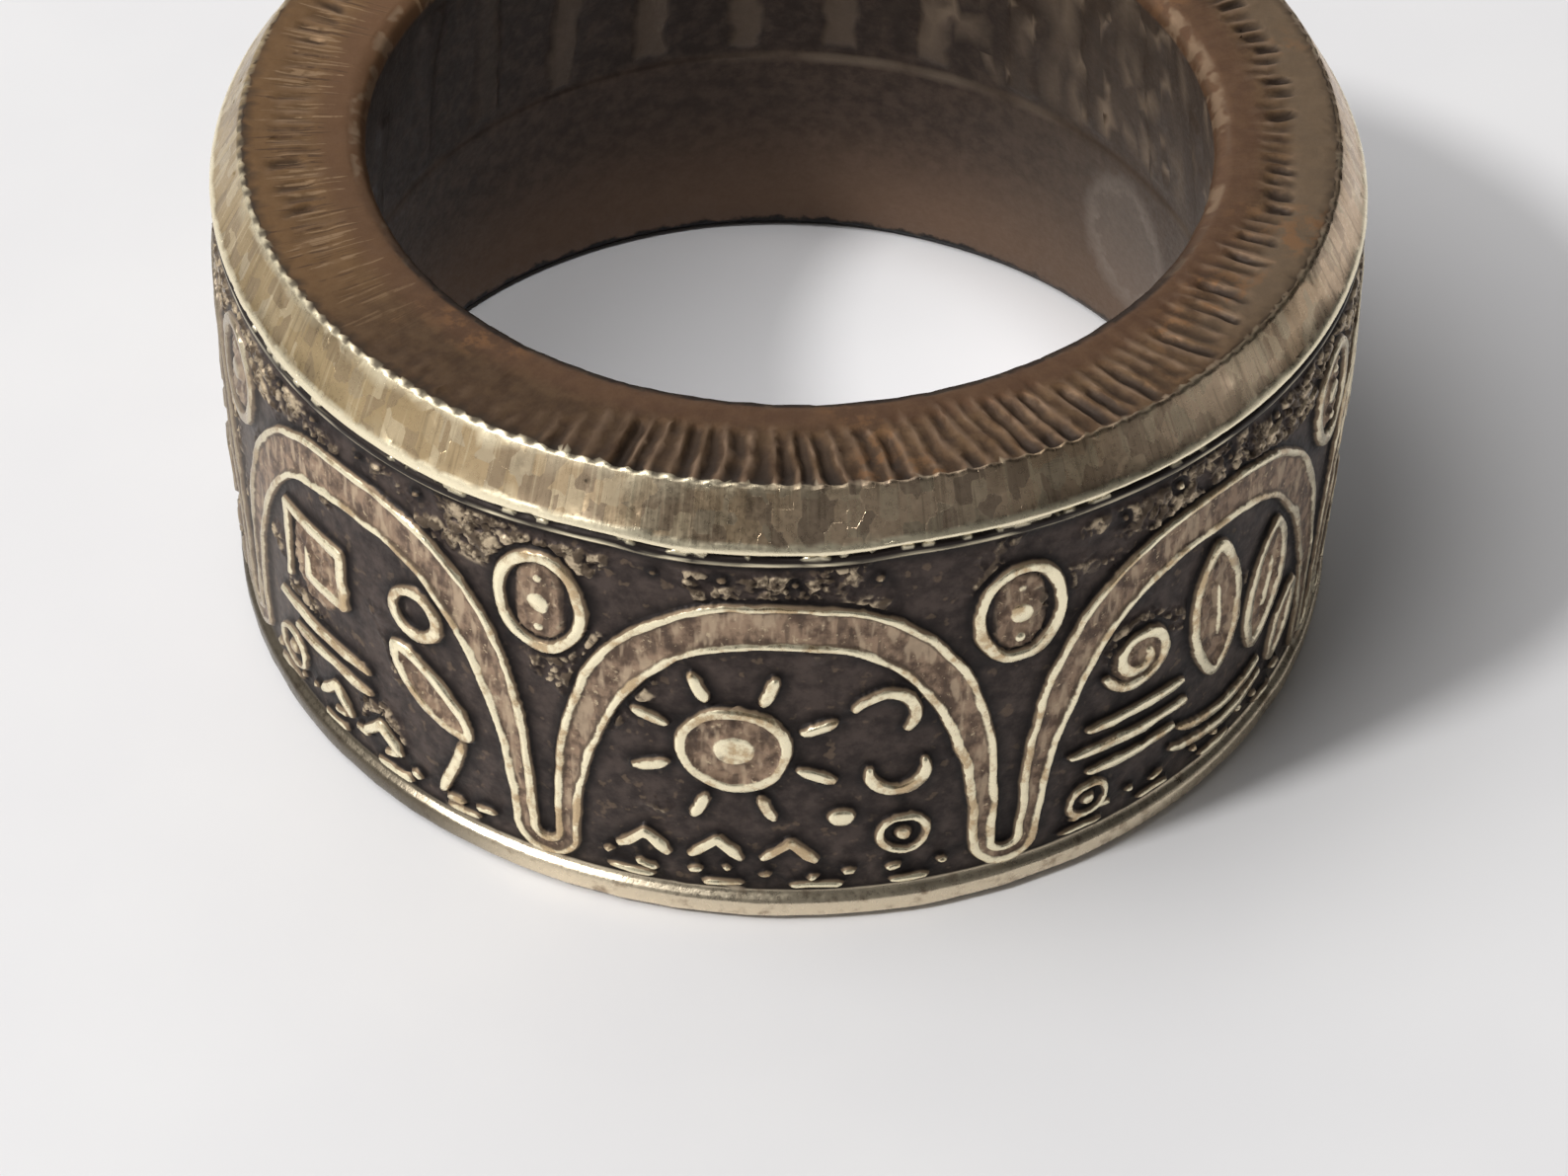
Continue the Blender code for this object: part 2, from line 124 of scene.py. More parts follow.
def section_rows():
    """Points of the closed section as (radius, height, zone, share of the way through its zone)."""
    round_low = BAND_HEIGHT - FACE_DISH - INNER_ROUND
    face_inner = (hollow_radius(round_low) + INNER_ROUND, BAND_HEIGHT - FACE_DISH)
    half_way = INNER_ROUND * math.sqrt(0.5)
    round_middle = (face_inner[0] - half_way, round_low + half_way)
    step_low = (hollow_radius(HOLLOW_STEP_HEIGHT), HOLLOW_STEP_HEIGHT)
    step_high = (step_low[0] + HOLLOW_STEP, HOLLOW_STEP_HEIGHT + HOLLOW_STEP)
    round_start = (hollow_radius(round_low), round_low)
    # zone, rows up to the next corner, corner where the stretch starts
    corners = [
        (ROUND, 3, round_start),
        (ROUND, 3, round_middle),
        (FACE, 34, face_inner),
        (BEVEL, 24, (FACE_RADIUS, BAND_HEIGHT)),
        (BORDER, 4, (BEVEL_FOOT_RADIUS, BEVEL_FOOT)),
        (BORDER, 4, (BEVEL_FOOT_RADIUS - GROOVE_DEPTH, BEVEL_FOOT - GROOVE_WIDTH / 2.0)),
        (BORDER, 4, (BEVEL_FOOT_RADIUS, BEVEL_FOOT - GROOVE_WIDTH)),
        (BORDER, 4, (BEVEL_FOOT_RADIUS, BEVEL_FOOT - GROOVE_WIDTH - RIDGE_WIDTH)),
        (WALL, 164, (wall_radius(FIELD_TOP), FIELD_TOP)),
        (RIM, 3, (wall_radius(FIELD_FOOT), FIELD_FOOT)),
        (RIM, 6, (RIM_RADIUS, RIM_HEIGHT)),
        (RIM, 3, (RIM_RADIUS, RIM_CHAMFER)),
        (BASE, 8, (RIM_RADIUS - RIM_CHAMFER, 0.0)),
        (HOLLOW, 26, (HOLLOW_FOOT_RADIUS, 0.0)),
        (HOLLOW, 2, step_low),
        (HOLLOW, 44, step_high),
    ]
    rows = []
    for stretch, (zone, count, start) in enumerate(corners):
        end = corners[(stretch + 1) % len(corners)][2]
        for row in range(count):
            share = row / count
            height = start[1] + (end[1] - start[1]) * share
            radius = start[0] + (end[0] - start[0]) * share
            if zone == WALL:
                radius = wall_radius(height)
            if zone == BORDER:
                share = (BEVEL_FOOT - height) / (BEVEL_FOOT - FIELD_TOP)
            rows.append((radius, height, zone, share))
    return rows


def softened(rows):
    """Round every corner of the section a little, but keep the base flat on the table."""
    smooth = []
    for index, (radius, height, zone, share) in enumerate(rows):
        before = rows[index - 1]
        after = rows[(index + 1) % len(rows)]
        radius = (before[0] + 2.0 * radius + after[0]) / 4.0
        if zone != BASE:
            height = (before[1] + 2.0 * height + after[1]) / 4.0
        smooth.append((radius, height, zone, share))
    return smooth


def point_cloud_object(name, points, values, edges=()):
    """A mesh of bare points or lines, with named numbers on its points, as material for the tree."""
    mesh = bpy.data.meshes.new(name)
    mesh.from_pydata(points, edges, [])
    for label, numbers in values.items():
        mesh.attributes.new(label, "FLOAT", "POINT").data.foreach_set("value", numbers)
    return in_scene(name, mesh)


rows = softened(section_rows())
leans = []
for index in range(len(rows)):
    before = rows[index - 1]
    after = rows[(index + 1) % len(rows)]
    along = Vector((after[0] - before[0], after[1] - before[1])).normalized()
    leans.append((-along.y, along.x))
SECTION_LABELS = ("radius", "height", "zone", "share", "lean_out", "lean_up")
section_columns = zip(*(row + lean for row, lean in zip(rows, leans)))
section = point_cloud_object(
    "section",
    [(radius, 0.0, height) for radius, height, zone, share in rows],
    dict(zip(SECTION_LABELS, section_columns)),
)


# The struck ornament, as lines on the wall
# A ribbon runs round the coin in tall arches, with plain old figures inside them: leaves, frets,
# volutes, wheels, beads and bars, four kinds of arch in turn. Between two arches is an oval.
ARCH_COUNT = 8
ARCH_KINDS = 4
ARCH_PITCH = 2.0 * math.pi * BELLY_RADIUS / ARCH_COUNT
RIBBON_WIDTH_CROWN = 0.0013
RIBBON_WIDTH_FOOT = 0.00066
FOOT_BEND_RADIUS = 0.00055
LINE_WIDTH = 0.00038
FINE_LINE_WIDTH = 0.00027
ARCH_SPRING_SHARE = 0.1
ARCH_CROWN_SHARE = 0.835
SIDE_ROUNDING = 2.0 / 2.7
CROWN_ROUNDING = 2.0 / 2.2
DASH_UP_SHARE = 0.035

# Across is a share of an arch's pitch, up and size are shares of the field's height, turn in degrees
#    arch, motif, across, up, size, turn
MOTIFS = (
    (0, "wheel", -0.09, 0.47, 0.115, 0),
    (0, "crescent", 0.22, 0.57, 0.065, 30),
    (0, "crescent", 0.25, 0.40, 0.065, -115),
    (0, "ringed_bead", 0.27, 0.19, 0.055, 0),
    (0, "bead", 0.135, 0.26, 0.032, 0),
    (0, "chevron", -0.28, 0.15, 0.055, 0),
    (0, "chevron", -0.125, 0.15, 0.055, 0),
    (0, "chevron", 0.03, 0.15, 0.055, 0),
    (1, "leaf", 0.03, 0.52, 0.40, 5),
    (1, "leaf", 0.215, 0.46, 0.34, -10),
    (1, "leaf", 0.325, 0.25, 0.20, -20),
    (1, "volute", -0.20, 0.53, 0.09, 200),
    (1, "bar", -0.19, 0.36, 0.26, 0),
    (1, "bar", -0.20, 0.29, 0.32, 0),
    (1, "bar", -0.19, 0.22, 0.24, 0),
    (1, "ringed_bead", -0.30, 0.125, 0.05, 0),
    (1, "bow", 0.09, 0.165, 0.28, 180),
    (1, "bow", 0.09, 0.105, 0.32, 180),
    (2, "volute", -0.20, 0.58, 0.10, 250),
    (2, "volute", 0.02, 0.44, 0.10, 250),
    (2, "volute", 0.23, 0.30, 0.09, 250),
    (2, "leaf", 0.15, 0.64, 0.26, 52),
    (2, "bead", 0.26, 0.50, 0.034, 0),
    (2, "ringed_bead", -0.26, 0.31, 0.055, 0),
    (2, "bead", -0.13, 0.36, 0.028, 0),
    (2, "bar", -0.13, 0.20, 0.32, 0),
    (2, "bar", -0.13, 0.13, 0.42, 0),
    (2, "bead", 0.16, 0.13, 0.030, 0),
    (2, "bead", 0.27, 0.13, 0.030, 0),
    (3, "fret", -0.14, 0.51, 0.11, 0),
    (3, "ring", 0.19, 0.60, 0.062, 0),
    (3, "leaf", 0.22, 0.38, 0.27, 48),
    (3, "bar", -0.13, 0.31, 0.34, 0),
    (3, "bar", -0.10, 0.24, 0.28, 0),
    (3, "ringed_bead", -0.28, 0.13, 0.055, 0),
    (3, "chevron", -0.10, 0.13, 0.055, 0),
    (3, "chevron", 0.06, 0.13, 0.055, 0),
    (3, "bar", 0.27, 0.17, 0.20, 70),
)
PELLETS = ((-0.26, 0.955, 0.010), (-0.12, 0.962, 0.013), (0.03, 0.957, 0.010), (0.2, 0.96, 0.013))
DASHES = ((-0.31, 0.1), (-0.11, 0.08), (0.09, 0.1), (0.29, 0.08))


class Drawing:
    """Strokes drawn flat on the unrolled wall and wrapped round the band, each point with half a width."""

    def __init__(self):
        self.points = []
        self.edges = []
        self.half_widths = []

    def add(self, path, half_widths, closed=False):
        first = len(self.points)
        for (across, up), half in zip(path, half_widths):
            angle = across / BELLY_RADIUS - math.pi / 2.0
            place = (BELLY_RADIUS * math.cos(angle), BELLY_RADIUS * math.sin(angle), FIELD_FOOT + up)
            self.points.append(place)
            self.half_widths.append(half)
        last = len(self.points) - 1
        self.edges += [(index, index + 1) for index in range(first, last)]
        if closed:
            self.edges.append((last, first))

    def holder(self, name):
        return point_cloud_object(name, self.points, {"half_width": self.half_widths}, self.edges)


lines = Drawing()
rounds = Drawing()
pads = Drawing()
ribbon = Drawing()


def placed(points, across, up, turn):
    """Turn a figure by some degrees and move it to its place."""
    cosine = math.cos(math.radians(turn))
    sine = math.sin(math.radians(turn))
    return [(across + x * cosine - y * sine, up + x * sine + y * cosine) for x, y in points]


def arc(radius, first, last, steps=28):
    angles = [math.radians(first + (last - first) * step / steps) for step in range(steps + 1)]
    return [(radius * math.cos(angle), radius * math.sin(angle)) for angle in angles]


def draw_line(points, place, width=LINE_WIDTH, closed=False):
    """A struck line; an open one thins out at both ends."""
    count = len(points)
    halves = []
    for index in range(count):
        from_end = min(index, count - 1 - index) / max(count - 1, 1)
        taper = 1.0 if closed else min(1.0, 0.74 + 2.2 * from_end)
        halves.append(width / 2.0 * taper)
    lines.add(placed(points, *place), halves, closed)


def draw_pad(points, place, half_widths):
    pads.add(placed(points, *place), half_widths)


def draw_disc(radius, place):
    draw_pad([(-radius * 0.05, 0.0), (radius * 0.05, 0.0)], place, [radius, radius])


def draw_straight(first, last, place, width=LINE_WIDTH, steps=10):
    path = []
    for step in range(steps + 1):
        share = step / steps
        path.append((first[0] + (last[0] - first[0]) * share, first[1] + (last[1] - first[1]) * share))
    draw_line(path, place, width)


def bar(size, place):
    draw_straight((-size / 2.0, 0.0), (size / 2.0, 0.0), place)


def bead(size, place):
    across, up = place[:2]
    hair = size * 0.05
    rounds.add([(across - hair, up), (across + hair, up)], [size, size])


def ring(size, place, width=LINE_WIDTH):
    draw_line(arc(size, 0.0, 348.0), place, width, closed=True)


def ringed_bead(size, place):
    ring(size, place, FINE_LINE_WIDTH)
    bead(size * 0.45, place)


def bow(size, place):
    """A shallow arc, its chord as long as size."""
    half_angle = 28.0
    radius = size / 2.0 / math.sin(math.radians(half_angle))
    draw_line([(x, y - radius) for x, y in arc(radius, 90.0 + half_angle, 90.0 - half_angle)], place)


def crescent(size, place):
    draw_line(arc(size, 130.0, -70.0), place)


def chevron(size, place):
    path = []
    for step in range(-8, 9):
        share = step / 8.0
        path.append((size * share, size / 2.0 - size * abs(share)))
    draw_line(path, place)


def leaf(size, place):
    """A pointed leaf in outline over a low blade, with a vein in the long ones."""
    half_width = size * 0.18
    outline = []
    for step in range(32):
        angle = 2.0 * math.pi * step / 32
        bulge = math.copysign(abs(math.sin(angle)) ** 1.3, math.sin(angle))
        outline.append((half_width * bulge, size / 2.0 * math.cos(angle)))
    draw_line(outline, place, closed=True)
    blade = [(0.0, size * share / 20.0) for share in range(-9, 10)]
    halves = [half_width * (1.0 - abs(share / 10.0) ** 2.2) for share in range(-9, 10)]
    draw_pad(blade, place, halves)
    if half_width > LINE_WIDTH * 1.6:
        draw_straight((0.0, -size * 0.2), (0.0, size * 0.2), place, FINE_LINE_WIDTH)


def volute(size, place):
    """A spiral that winds inwards one turn and a half."""
    path = []
    for step in range(45):
        share = step / 44.0
        angle = 3.0 * math.pi * share
        radius = size * (1.0 - 0.72 * share)
        path.append((radius * math.cos(angle), radius * math.sin(angle)))
    draw_line(path, place)
    draw_disc(size * 0.75, place)


def fret(size, place):
    """A squared spiral, as on a key border."""
    shares = ((-1.0, -1.0), (-1.0, 1.0), (1.0, 1.0), (1.0, -0.4), (-0.2, -0.4), (-0.2, 0.35))
    path = []
    for here, there in zip(shares, shares[1:]):
        for step in range(8):
            share = step / 8.0
            path.append(tuple((a + (b - a) * share) * size for a, b in zip(here, there)))
    draw_line(path + [(shares[-1][0] * size, shares[-1][1] * size)], place)
    draw_pad([(0.0, -size * 0.3), (0.0, size * 0.3)], place, [size * 0.8, size * 0.8])


def wheel(size, place):
    """A ringed boss with short rays."""
    ring(size, place)
    draw_disc(size, place)
    bead(size * 0.45, place)
    across, up, turn = place
    for ray in range(8):
        draw_straight((size * 1.4, 0.0), (size * 2.0, 0.0), (across, up, turn + 22.5 + 45.0 * ray))


figure_list = (bar, bead, bow, chevron, crescent, fret, leaf, ring, ringed_bead, volute, wheel)
FIGURES = {figure.__name__: figure for figure in figure_list}


def ribbon_half_width(up):
    """Wide at the crown of an arch, narrow at its foot."""
    share = (up / FIELD_HEIGHT - ARCH_SPRING_SHARE) / (ARCH_CROWN_SHARE - ARCH_SPRING_SHARE)
    share = min(max(share, 0.0), 1.0)
    eased = share * share * (3.0 - 2.0 * share)
    return (RIBBON_WIDTH_FOOT + (RIBBON_WIDTH_CROWN - RIBBON_WIDTH_FOOT) * eased) / 2.0


def arch_line():
    """Middle line of the ribbon once round: arches joined by small bends at their feet."""
    crown_steps = 90
    bend_steps = 16
    half_span = ARCH_PITCH / 2.0 - FOOT_BEND_RADIUS
    spring = ARCH_SPRING_SHARE * FIELD_HEIGHT
    rise = (ARCH_CROWN_SHARE - ARCH_SPRING_SHARE) * FIELD_HEIGHT
    path = []
    for arch in range(ARCH_COUNT):
        middle = arch * ARCH_PITCH
        for step in range(crown_steps + 1):
            turn = math.pi * step / crown_steps
            side = -math.copysign(abs(math.cos(turn)) ** SIDE_ROUNDING, math.cos(turn))
            lift = max(math.sin(turn), 0.0) ** CROWN_ROUNDING
            path.append((middle + half_span * side, spring + rise * lift))
        for step in range(1, bend_steps):
            turn = math.pi * step / bend_steps
            across = middle + ARCH_PITCH / 2.0 - FOOT_BEND_RADIUS * math.cos(turn)
            path.append((across, spring - FOOT_BEND_RADIUS * math.sin(turn)))
    return path


def medallion(across):
    """The oval between two arches, with a bead and two pellets inside."""
    up = FIELD_HEIGHT * 0.8
    half_width = ARCH_PITCH * 0.092
    half_height = FIELD_HEIGHT * 0.125
    oval = [(x * half_width, y * half_height) for x, y in arc(1.0, 0.0, 350.0, 35)]
    draw_line(oval, (across, up, 0.0), closed=True)
    draw_pad([(0.0, -half_width * 0.5), (0.0, half_width * 0.5)], (across, up, 0.0), [half_width * 0.6] * 2)
    bead(LINE_WIDTH * 0.9, (across, up))
    for side in (-1.0, 1.0):
        bead(LINE_WIDTH * 0.5, (across, up + side * half_height * 0.55))


def chip_marks(across, luck):
    """Small broken strokes low on the field, clear of the ribbon's feet."""
    for mark in range(9):
        aside = (mark - 4.0) / 9.0 * 0.78 + luck.uniform(-0.02, 0.02)
        up = FIELD_HEIGHT * luck.uniform(0.058, 0.092)
        half = luck.uniform(0.00004, 0.00024)
        turn = luck.uniform(-24.0, 24.0)
        draw_straight((-half, 0.0), (half, 0.0), (across + aside * ARCH_PITCH, up, turn), FINE_LINE_WIDTH)


arches = arch_line()
chip_luck = random.Random(8)
ribbon.add(arches, [ribbon_half_width(up) for across, up in arches], closed=True)
for arch in range(ARCH_COUNT):
    arch_middle = arch * ARCH_PITCH
    for kind, motif, across, up, size, turn in MOTIFS:
        if kind == arch % ARCH_KINDS:
            place = (arch_middle + across * ARCH_PITCH, up * FIELD_HEIGHT, turn)
            FIGURES[motif](size * FIELD_HEIGHT, place)
    medallion(arch_middle + ARCH_PITCH / 2.0)
    chip_marks(arch_middle, chip_luck)
    for across, up, size in PELLETS:
        bead(size * FIELD_HEIGHT, (arch_middle + across * ARCH_PITCH, up * FIELD_HEIGHT))
    for across, length in DASHES:
        half = length * ARCH_PITCH / 2.0
        place = (arch_middle + across * ARCH_PITCH, DASH_UP_SHARE * FIELD_HEIGHT, 0.0)
        draw_straight((-half, 0.0), (half, 0.0), place, FINE_LINE_WIDTH)


# The band itself
# Geometry nodes turn the section round the finger's axis, strike the ornament into the wall, mill the
# reeds across the top face, dent the bevel and leave the worn blocks in the hollow.
REED_COUNT = 168
STEPS_TO_A_REED = 8
REED_DEPTH = 0.00014
RELIEF_HEIGHT = 0.00019
RIBBON_FLOOR = 0.00011
PAD_HEIGHT = 0.00007
LINE_WANDER = 0.00005
# How far inside a stroke's edge its side starts and ends
LINE_SIDE = (-0.00003, 0.00010)
ROUND_SIDE = (-0.00005, 0.00014)
RIBBON_SIDE = (-0.00005, 0.00007)
RIBBON_INNER_SIDE = (0.00015, 0.00027)
PAD_SIDE = (-0.00004, 0.00006)
PAD_FLOOR = (0.0, 0.00008)
# How far from the strokes the ground is darkest, and from how far on grains may lie on it
SHADE_REACH = (0.00002, 0.00026)
CLEAR_GROUND = (0.00006, 0.00016)
# The heights over which the grains above the arches set in
GRAINS_START = (0.0090, 0.0097)
GRAIN_WANDER = 0.0009
GROUND_HAMMERING = 0.00002
RIBBON_HAMMERING = 0.00006
FACE_GRAIN = 0.00006
LIP_CHIP_DEPTH = 0.000015
BEVEL_DENTS = 0.00005
PIT_DEPTH = 0.00003
BRIDGE_HEIGHT = 0.00008
FOOT_LINE_HEIGHT = 0.00003
BORDER_DIP = 0.00006
BORDER_SWAY = 0.00006
LEFT_KNOCK = -0.00010
FRONT_KNOCK = -0.00014
HOLLOW_DENTS = 0.00005
RIM_KNOCKS = 0.00008
POINT_SPACING = 0.00003
SEAM_WELD = 0.000002
REMNANT_COUNT = 26
REMNANT_HEIGHT = 0.00007
BLOCK_SIDE = (0.00050, 0.00026)
BLOCK_RAGGEDNESS = 0.0007
MOST_TRIANGLES = 196000


# Nodes go into the last of these trees; each tree is added to the list where its work starts
trees = []


def node(kind, feeds=(), **settings):
    """Make a node; feeds go to its inputs by number or name, and a node feeds its first output."""
    made = trees[-1].nodes.new(kind)
    for name, value in settings.items():
        setattr(made, name, value)
    pairs = feeds.items() if isinstance(feeds, dict) else enumerate(feeds)
    for socket, feed in pairs:
        if isinstance(feed, bpy.types.Node):
            feed = feed.outputs[0]
        if isinstance(feed, bpy.types.NodeSocket):
            trees[-1].links.new(feed, made.inputs[socket])
        elif feed is not None:
            made.inputs[socket].default_value = feed
    return made


def calc(operation, *feeds):
    return node("ShaderNodeMath", feeds, operation=operation)


def vector(operation, *feeds):
    return node("ShaderNodeVectorMath", feeds, operation=operation)


def minus(first, second):
    return calc("SUBTRACT", first, second)


def chain(operation, feeds):
    made = feeds[0]
    for feed in feeds[1:]:
        made = calc(operation, made, feed)
    return made


def product(*feeds):
    return chain("MULTIPLY", feeds)


def total(*feeds):
    return chain("ADD", feeds)


def highest(*feeds):
    return chain("MAXIMUM", feeds)


def ramp(value, low, high, start=0.0, end=1.0):
    """Smooth change from start to end as value goes from low to high."""
    feeds = (value, low, high, start, end)
    return node("ShaderNodeMapRange", feeds, interpolation_type="SMOOTHSTEP")


def fade(value, full, gone):
    return ramp(value, full, gone, 1.0, 0.0)


def between(value, low, low_full, high_full, high):
    """1 between two values, and soft on both sides."""
    return product(ramp(value, low, low_full), fade(value, high_full, high))


def weighted(start, *parts):
    """A start and some parts of it, each a value and its weight."""
    return total(start, *(product(value, weight) for value, weight in parts))


def noise(where, scale, detail=2.0, rough=0.5):
    feeds = {"Vector": where, "Scale": scale, "Detail": detail, "Roughness": rough}
    return node("ShaderNodeTexNoise", feeds)


def uneven(where, scale, detail=2.0):
    """Noise that goes as far below nothing as above it."""
    return minus(noise(where, scale, detail), 0.5)


def cells(where, scale, loose=1.0, distance="EUCLIDEAN"):
    feeds = {"Vector": where, "Scale": scale, "Randomness": loose}
    return node("ShaderNodeTexVoronoi", feeds, distance=distance)


band_tree = bpy.data.node_groups.new("struck band", "GeometryNodeTree")
named_inputs = (
    ("Section", "NodeSocketObject", section),
    ("Lines", "NodeSocketObject", lines.holder("lines")),
    ("Rounds", "NodeSocketObject", rounds.holder("rounds")),
    ("Pads", "NodeSocketObject", pads.holder("pads")),
    ("Ribbon", "NodeSocketObject", ribbon.holder("ribbon")),
    ("Rows", "NodeSocketInt", len(rows)),
    ("Reeds", "NodeSocketInt", REED_COUNT),
    ("Steps to a reed", "NodeSocketInt", STEPS_TO_A_REED),
    ("Reed depth", "NodeSocketFloat", REED_DEPTH),
    ("Relief height", "NodeSocketFloat", RELIEF_HEIGHT),
    ("Ribbon floor", "NodeSocketFloat", RIBBON_FLOOR),
    ("Pad height", "NodeSocketFloat", PAD_HEIGHT),
    ("Line wander", "NodeSocketFloat", LINE_WANDER),
    ("Point spacing", "NodeSocketFloat", POINT_SPACING),
    ("Metal", "NodeSocketMaterial", None),
)
for label, kind, value in named_inputs:
    band_tree.interface.new_socket(label, in_out="INPUT", socket_type=kind)
band_tree.interface.new_socket("Band", in_out="OUTPUT", socket_type="NodeSocketGeometry")
trees.append(band_tree)
given = node("NodeGroupInput").outputs


def from_object(label):
    return node("GeometryNodeObjectInfo", {0: given[label]}).outputs["Geometry"]


def named(label):
    return node("GeometryNodeInputNamedAttribute", (label,), data_type="FLOAT").outputs[0]


def at_index(geometry, value, index, data_type="FLOAT"):
    feeds = {"Geometry": geometry, "Value": value, "Index": index}
    return node("GeometryNodeSampleIndex", feeds, data_type=data_type)


def keep(geometry, label, value):
    feeds = {"Geometry": geometry, "Name": label, "Value": value}
    return node("GeometryNodeStoreNamedAttribute", feeds, data_type="FLOAT", domain="POINT")


def around(radius, turn, height):
    """A place given by its distance from the finger's axis, its angle round it and its height."""
    across = product(radius, calc("COSINE", turn))
    along = product(radius, calc("SINE", turn))
    return node("ShaderNodeCombineXYZ", (across, along, height))


# Turn the section: a grid of rows and columns is rolled up and its seams are welded
columns = product(given["Reeds"], given["Steps to a reed"])
rows_and_one = total(given["Rows"], 1.0)
grid_feeds = {"Vertices X": total(columns, 1.0), "Vertices Y": rows_and_one}
grid = node("GeometryNodeMeshGrid", grid_feeds)
index = node("GeometryNodeInputIndex")
column = calc("FLOOR", calc("DIVIDE", total(index, 0.5), rows_and_one))
row = calc("MODULO", calc("FLOORED_MODULO", index, rows_and_one), given["Rows"])
round_angle = product(calc("DIVIDE", column, columns), 2.0 * math.pi)
section_points = from_object("Section")
rolled = grid
section_values = {}
for label in SECTION_LABELS:
    rolled = keep(rolled, label, at_index(section_points, named(label), row))
    section_values[label] = named(label)
rolled_place = around(section_values["radius"], round_angle, section_values["height"])
rolled = node("GeometryNodeSetPosition", {"Geometry": rolled, "Position": rolled_place})
rolled = node("GeometryNodeMergeByDistance", {"Geometry": rolled, "Distance": SEAM_WELD})

place = node("GeometryNodeInputPosition")
place_parts = node("ShaderNodeSeparateXYZ", (place,))
angle = calc("ARCTAN2", place_parts.outputs[1], place_parts.outputs[0])
radius, height, zone, share, lean_out, lean_up = section_values.values()


def in_zone(number):
    return calc("COMPARE", zone, float(number), 0.5)


on_flat = in_zone(FACE)
on_round = in_zone(ROUND)
on_face = total(on_flat, on_round)
on_bevel = in_zone(BEVEL)
on_border = in_zone(BORDER)
on_wall = in_zone(WALL)
on_rim = in_zone(RIM)
in_hollow = in_zone(HOLLOW)


# What is done to one side only: the angle round the ring of its middle, how far round from there it
# keeps its full strength, and where it ends, all in degrees; the front is at -90 and the right at 0
SIDES = {
    "faint reeds": (172.0, 35.0, 55.0),
    "worn reeds": (-131.0, 12.0, 26.0),
    "long reeds": (-88.0, 18.0, 32.0),
    "broad reeds": (-48.0, 16.0, 32.0),
    "short reeds": (-2.0, 24.0, 44.0),
    "leaning reeds": (-62.0, 14.0, 42.0),
    "notches": (-135.0, 40.0, 58.0),
    "face outline": (0.0, 35.0, 55.0),
    "top highlight": (-130.0, 28.0, 46.0),
    "bridges": (-110.0, 40.0, 80.0),
    "left knock": (-135.0, 6.0, 26.0),
    "front knock": (-92.0, 4.0, 14.0),
    "step highlight": (55.0, 25.0, 55.0),
    "squiggles": (36.0, 28.0, 44.0),
    "shaded lip": (-90.0, 50.0, 72.0),
    "stain": (-112.0, 14.0, 38.0),
    "olive": (-5.0, 24.0, 42.0),
    "pale blocks": (60.0, 55.0, 90.0),
    "no blocks": (30.0, 20.0, 35.0),
}


def facing(side):
    """1 on one side of the ring, 0 past its end."""
    middle, inner, outer = SIDES[side]
    off = calc("COSINE", minus(angle, math.radians(middle)))
    return ramp(off, math.cos(math.radians(outer)), math.cos(math.radians(inner)))


# Strike the ornament: each point of the wall looks up the nearest stroke and how wide it is
wall_place = around(BELLY_RADIUS, angle, height)
wander_noise = noise(wall_place, 900.0, 1.0)
wander = vector("SUBTRACT", wander_noise.outputs["Color"], (0.5, 0.5, 0.5))
wander = vector("SCALE", wander)
band_tree.links.new(product(given["Line wander"], 4.0).outputs[0], wander.inputs["Scale"])
look_place = vector("ADD", wall_place, wander)


def inside_stroke(label):
    """How far a point of the wall lies inside the nearest stroke's edge; less than 0 outside it."""
    curve = node("GeometryNodeMeshToCurve", {"Mesh": from_object(label)})
    spacing = {"Curve": curve, "Length": given["Point spacing"]}
    curve = node("GeometryNodeResampleCurve", spacing, mode="LENGTH")
    dots = node("GeometryNodeCurveToPoints", {"Curve": curve}, mode="EVALUATED")
    nearest_feeds = {"Geometry": dots, "Sample Position": look_place}
    nearest = node("GeometryNodeSampleNearest", nearest_feeds, domain="POINT")
    dot_place = at_index(dots, node("GeometryNodeInputPosition"), nearest, "FLOAT_VECTOR")
    away = vector("DISTANCE", look_place, dot_place).outputs["Value"]
    return minus(at_index(dots, named("half_width"), nearest), away)


in_line = inside_stroke("Lines")
in_round = inside_stroke("Rounds")
in_pad = inside_stroke("Pads")
in_ribbon = inside_stroke("Ribbon")

wear = ramp(noise(wall_place, 420.0), 0.3, 0.62, 0.80, 1.0)
line_rise = product(ramp(in_line, *LINE_SIDE), wear)
round_rise = product(ramp(in_round, *ROUND_SIDE), wear)
ribbon_wall = product(ramp(in_ribbon, *RIBBON_SIDE), wear)
ribbon_hollow = ramp(in_ribbon, *RIBBON_INNER_SIDE)
floor_share = minus(1.0, calc("DIVIDE", given["Ribbon floor"], given["Relief height"]))
ribbon_rise = minus(ribbon_wall, product(ribbon_hollow, floor_share))
pad_share = calc("DIVIDE", given["Pad height"], given["Relief height"])
pad_lumps = cells(wall_place, 4200.0)
pad_lump = ramp(pad_lumps.outputs["Distance"], 0.75, 0.2, 0.55, 1.5)
pad_rise = product(ramp(in_pad, *PAD_SIDE), pad_share, pad_lump)

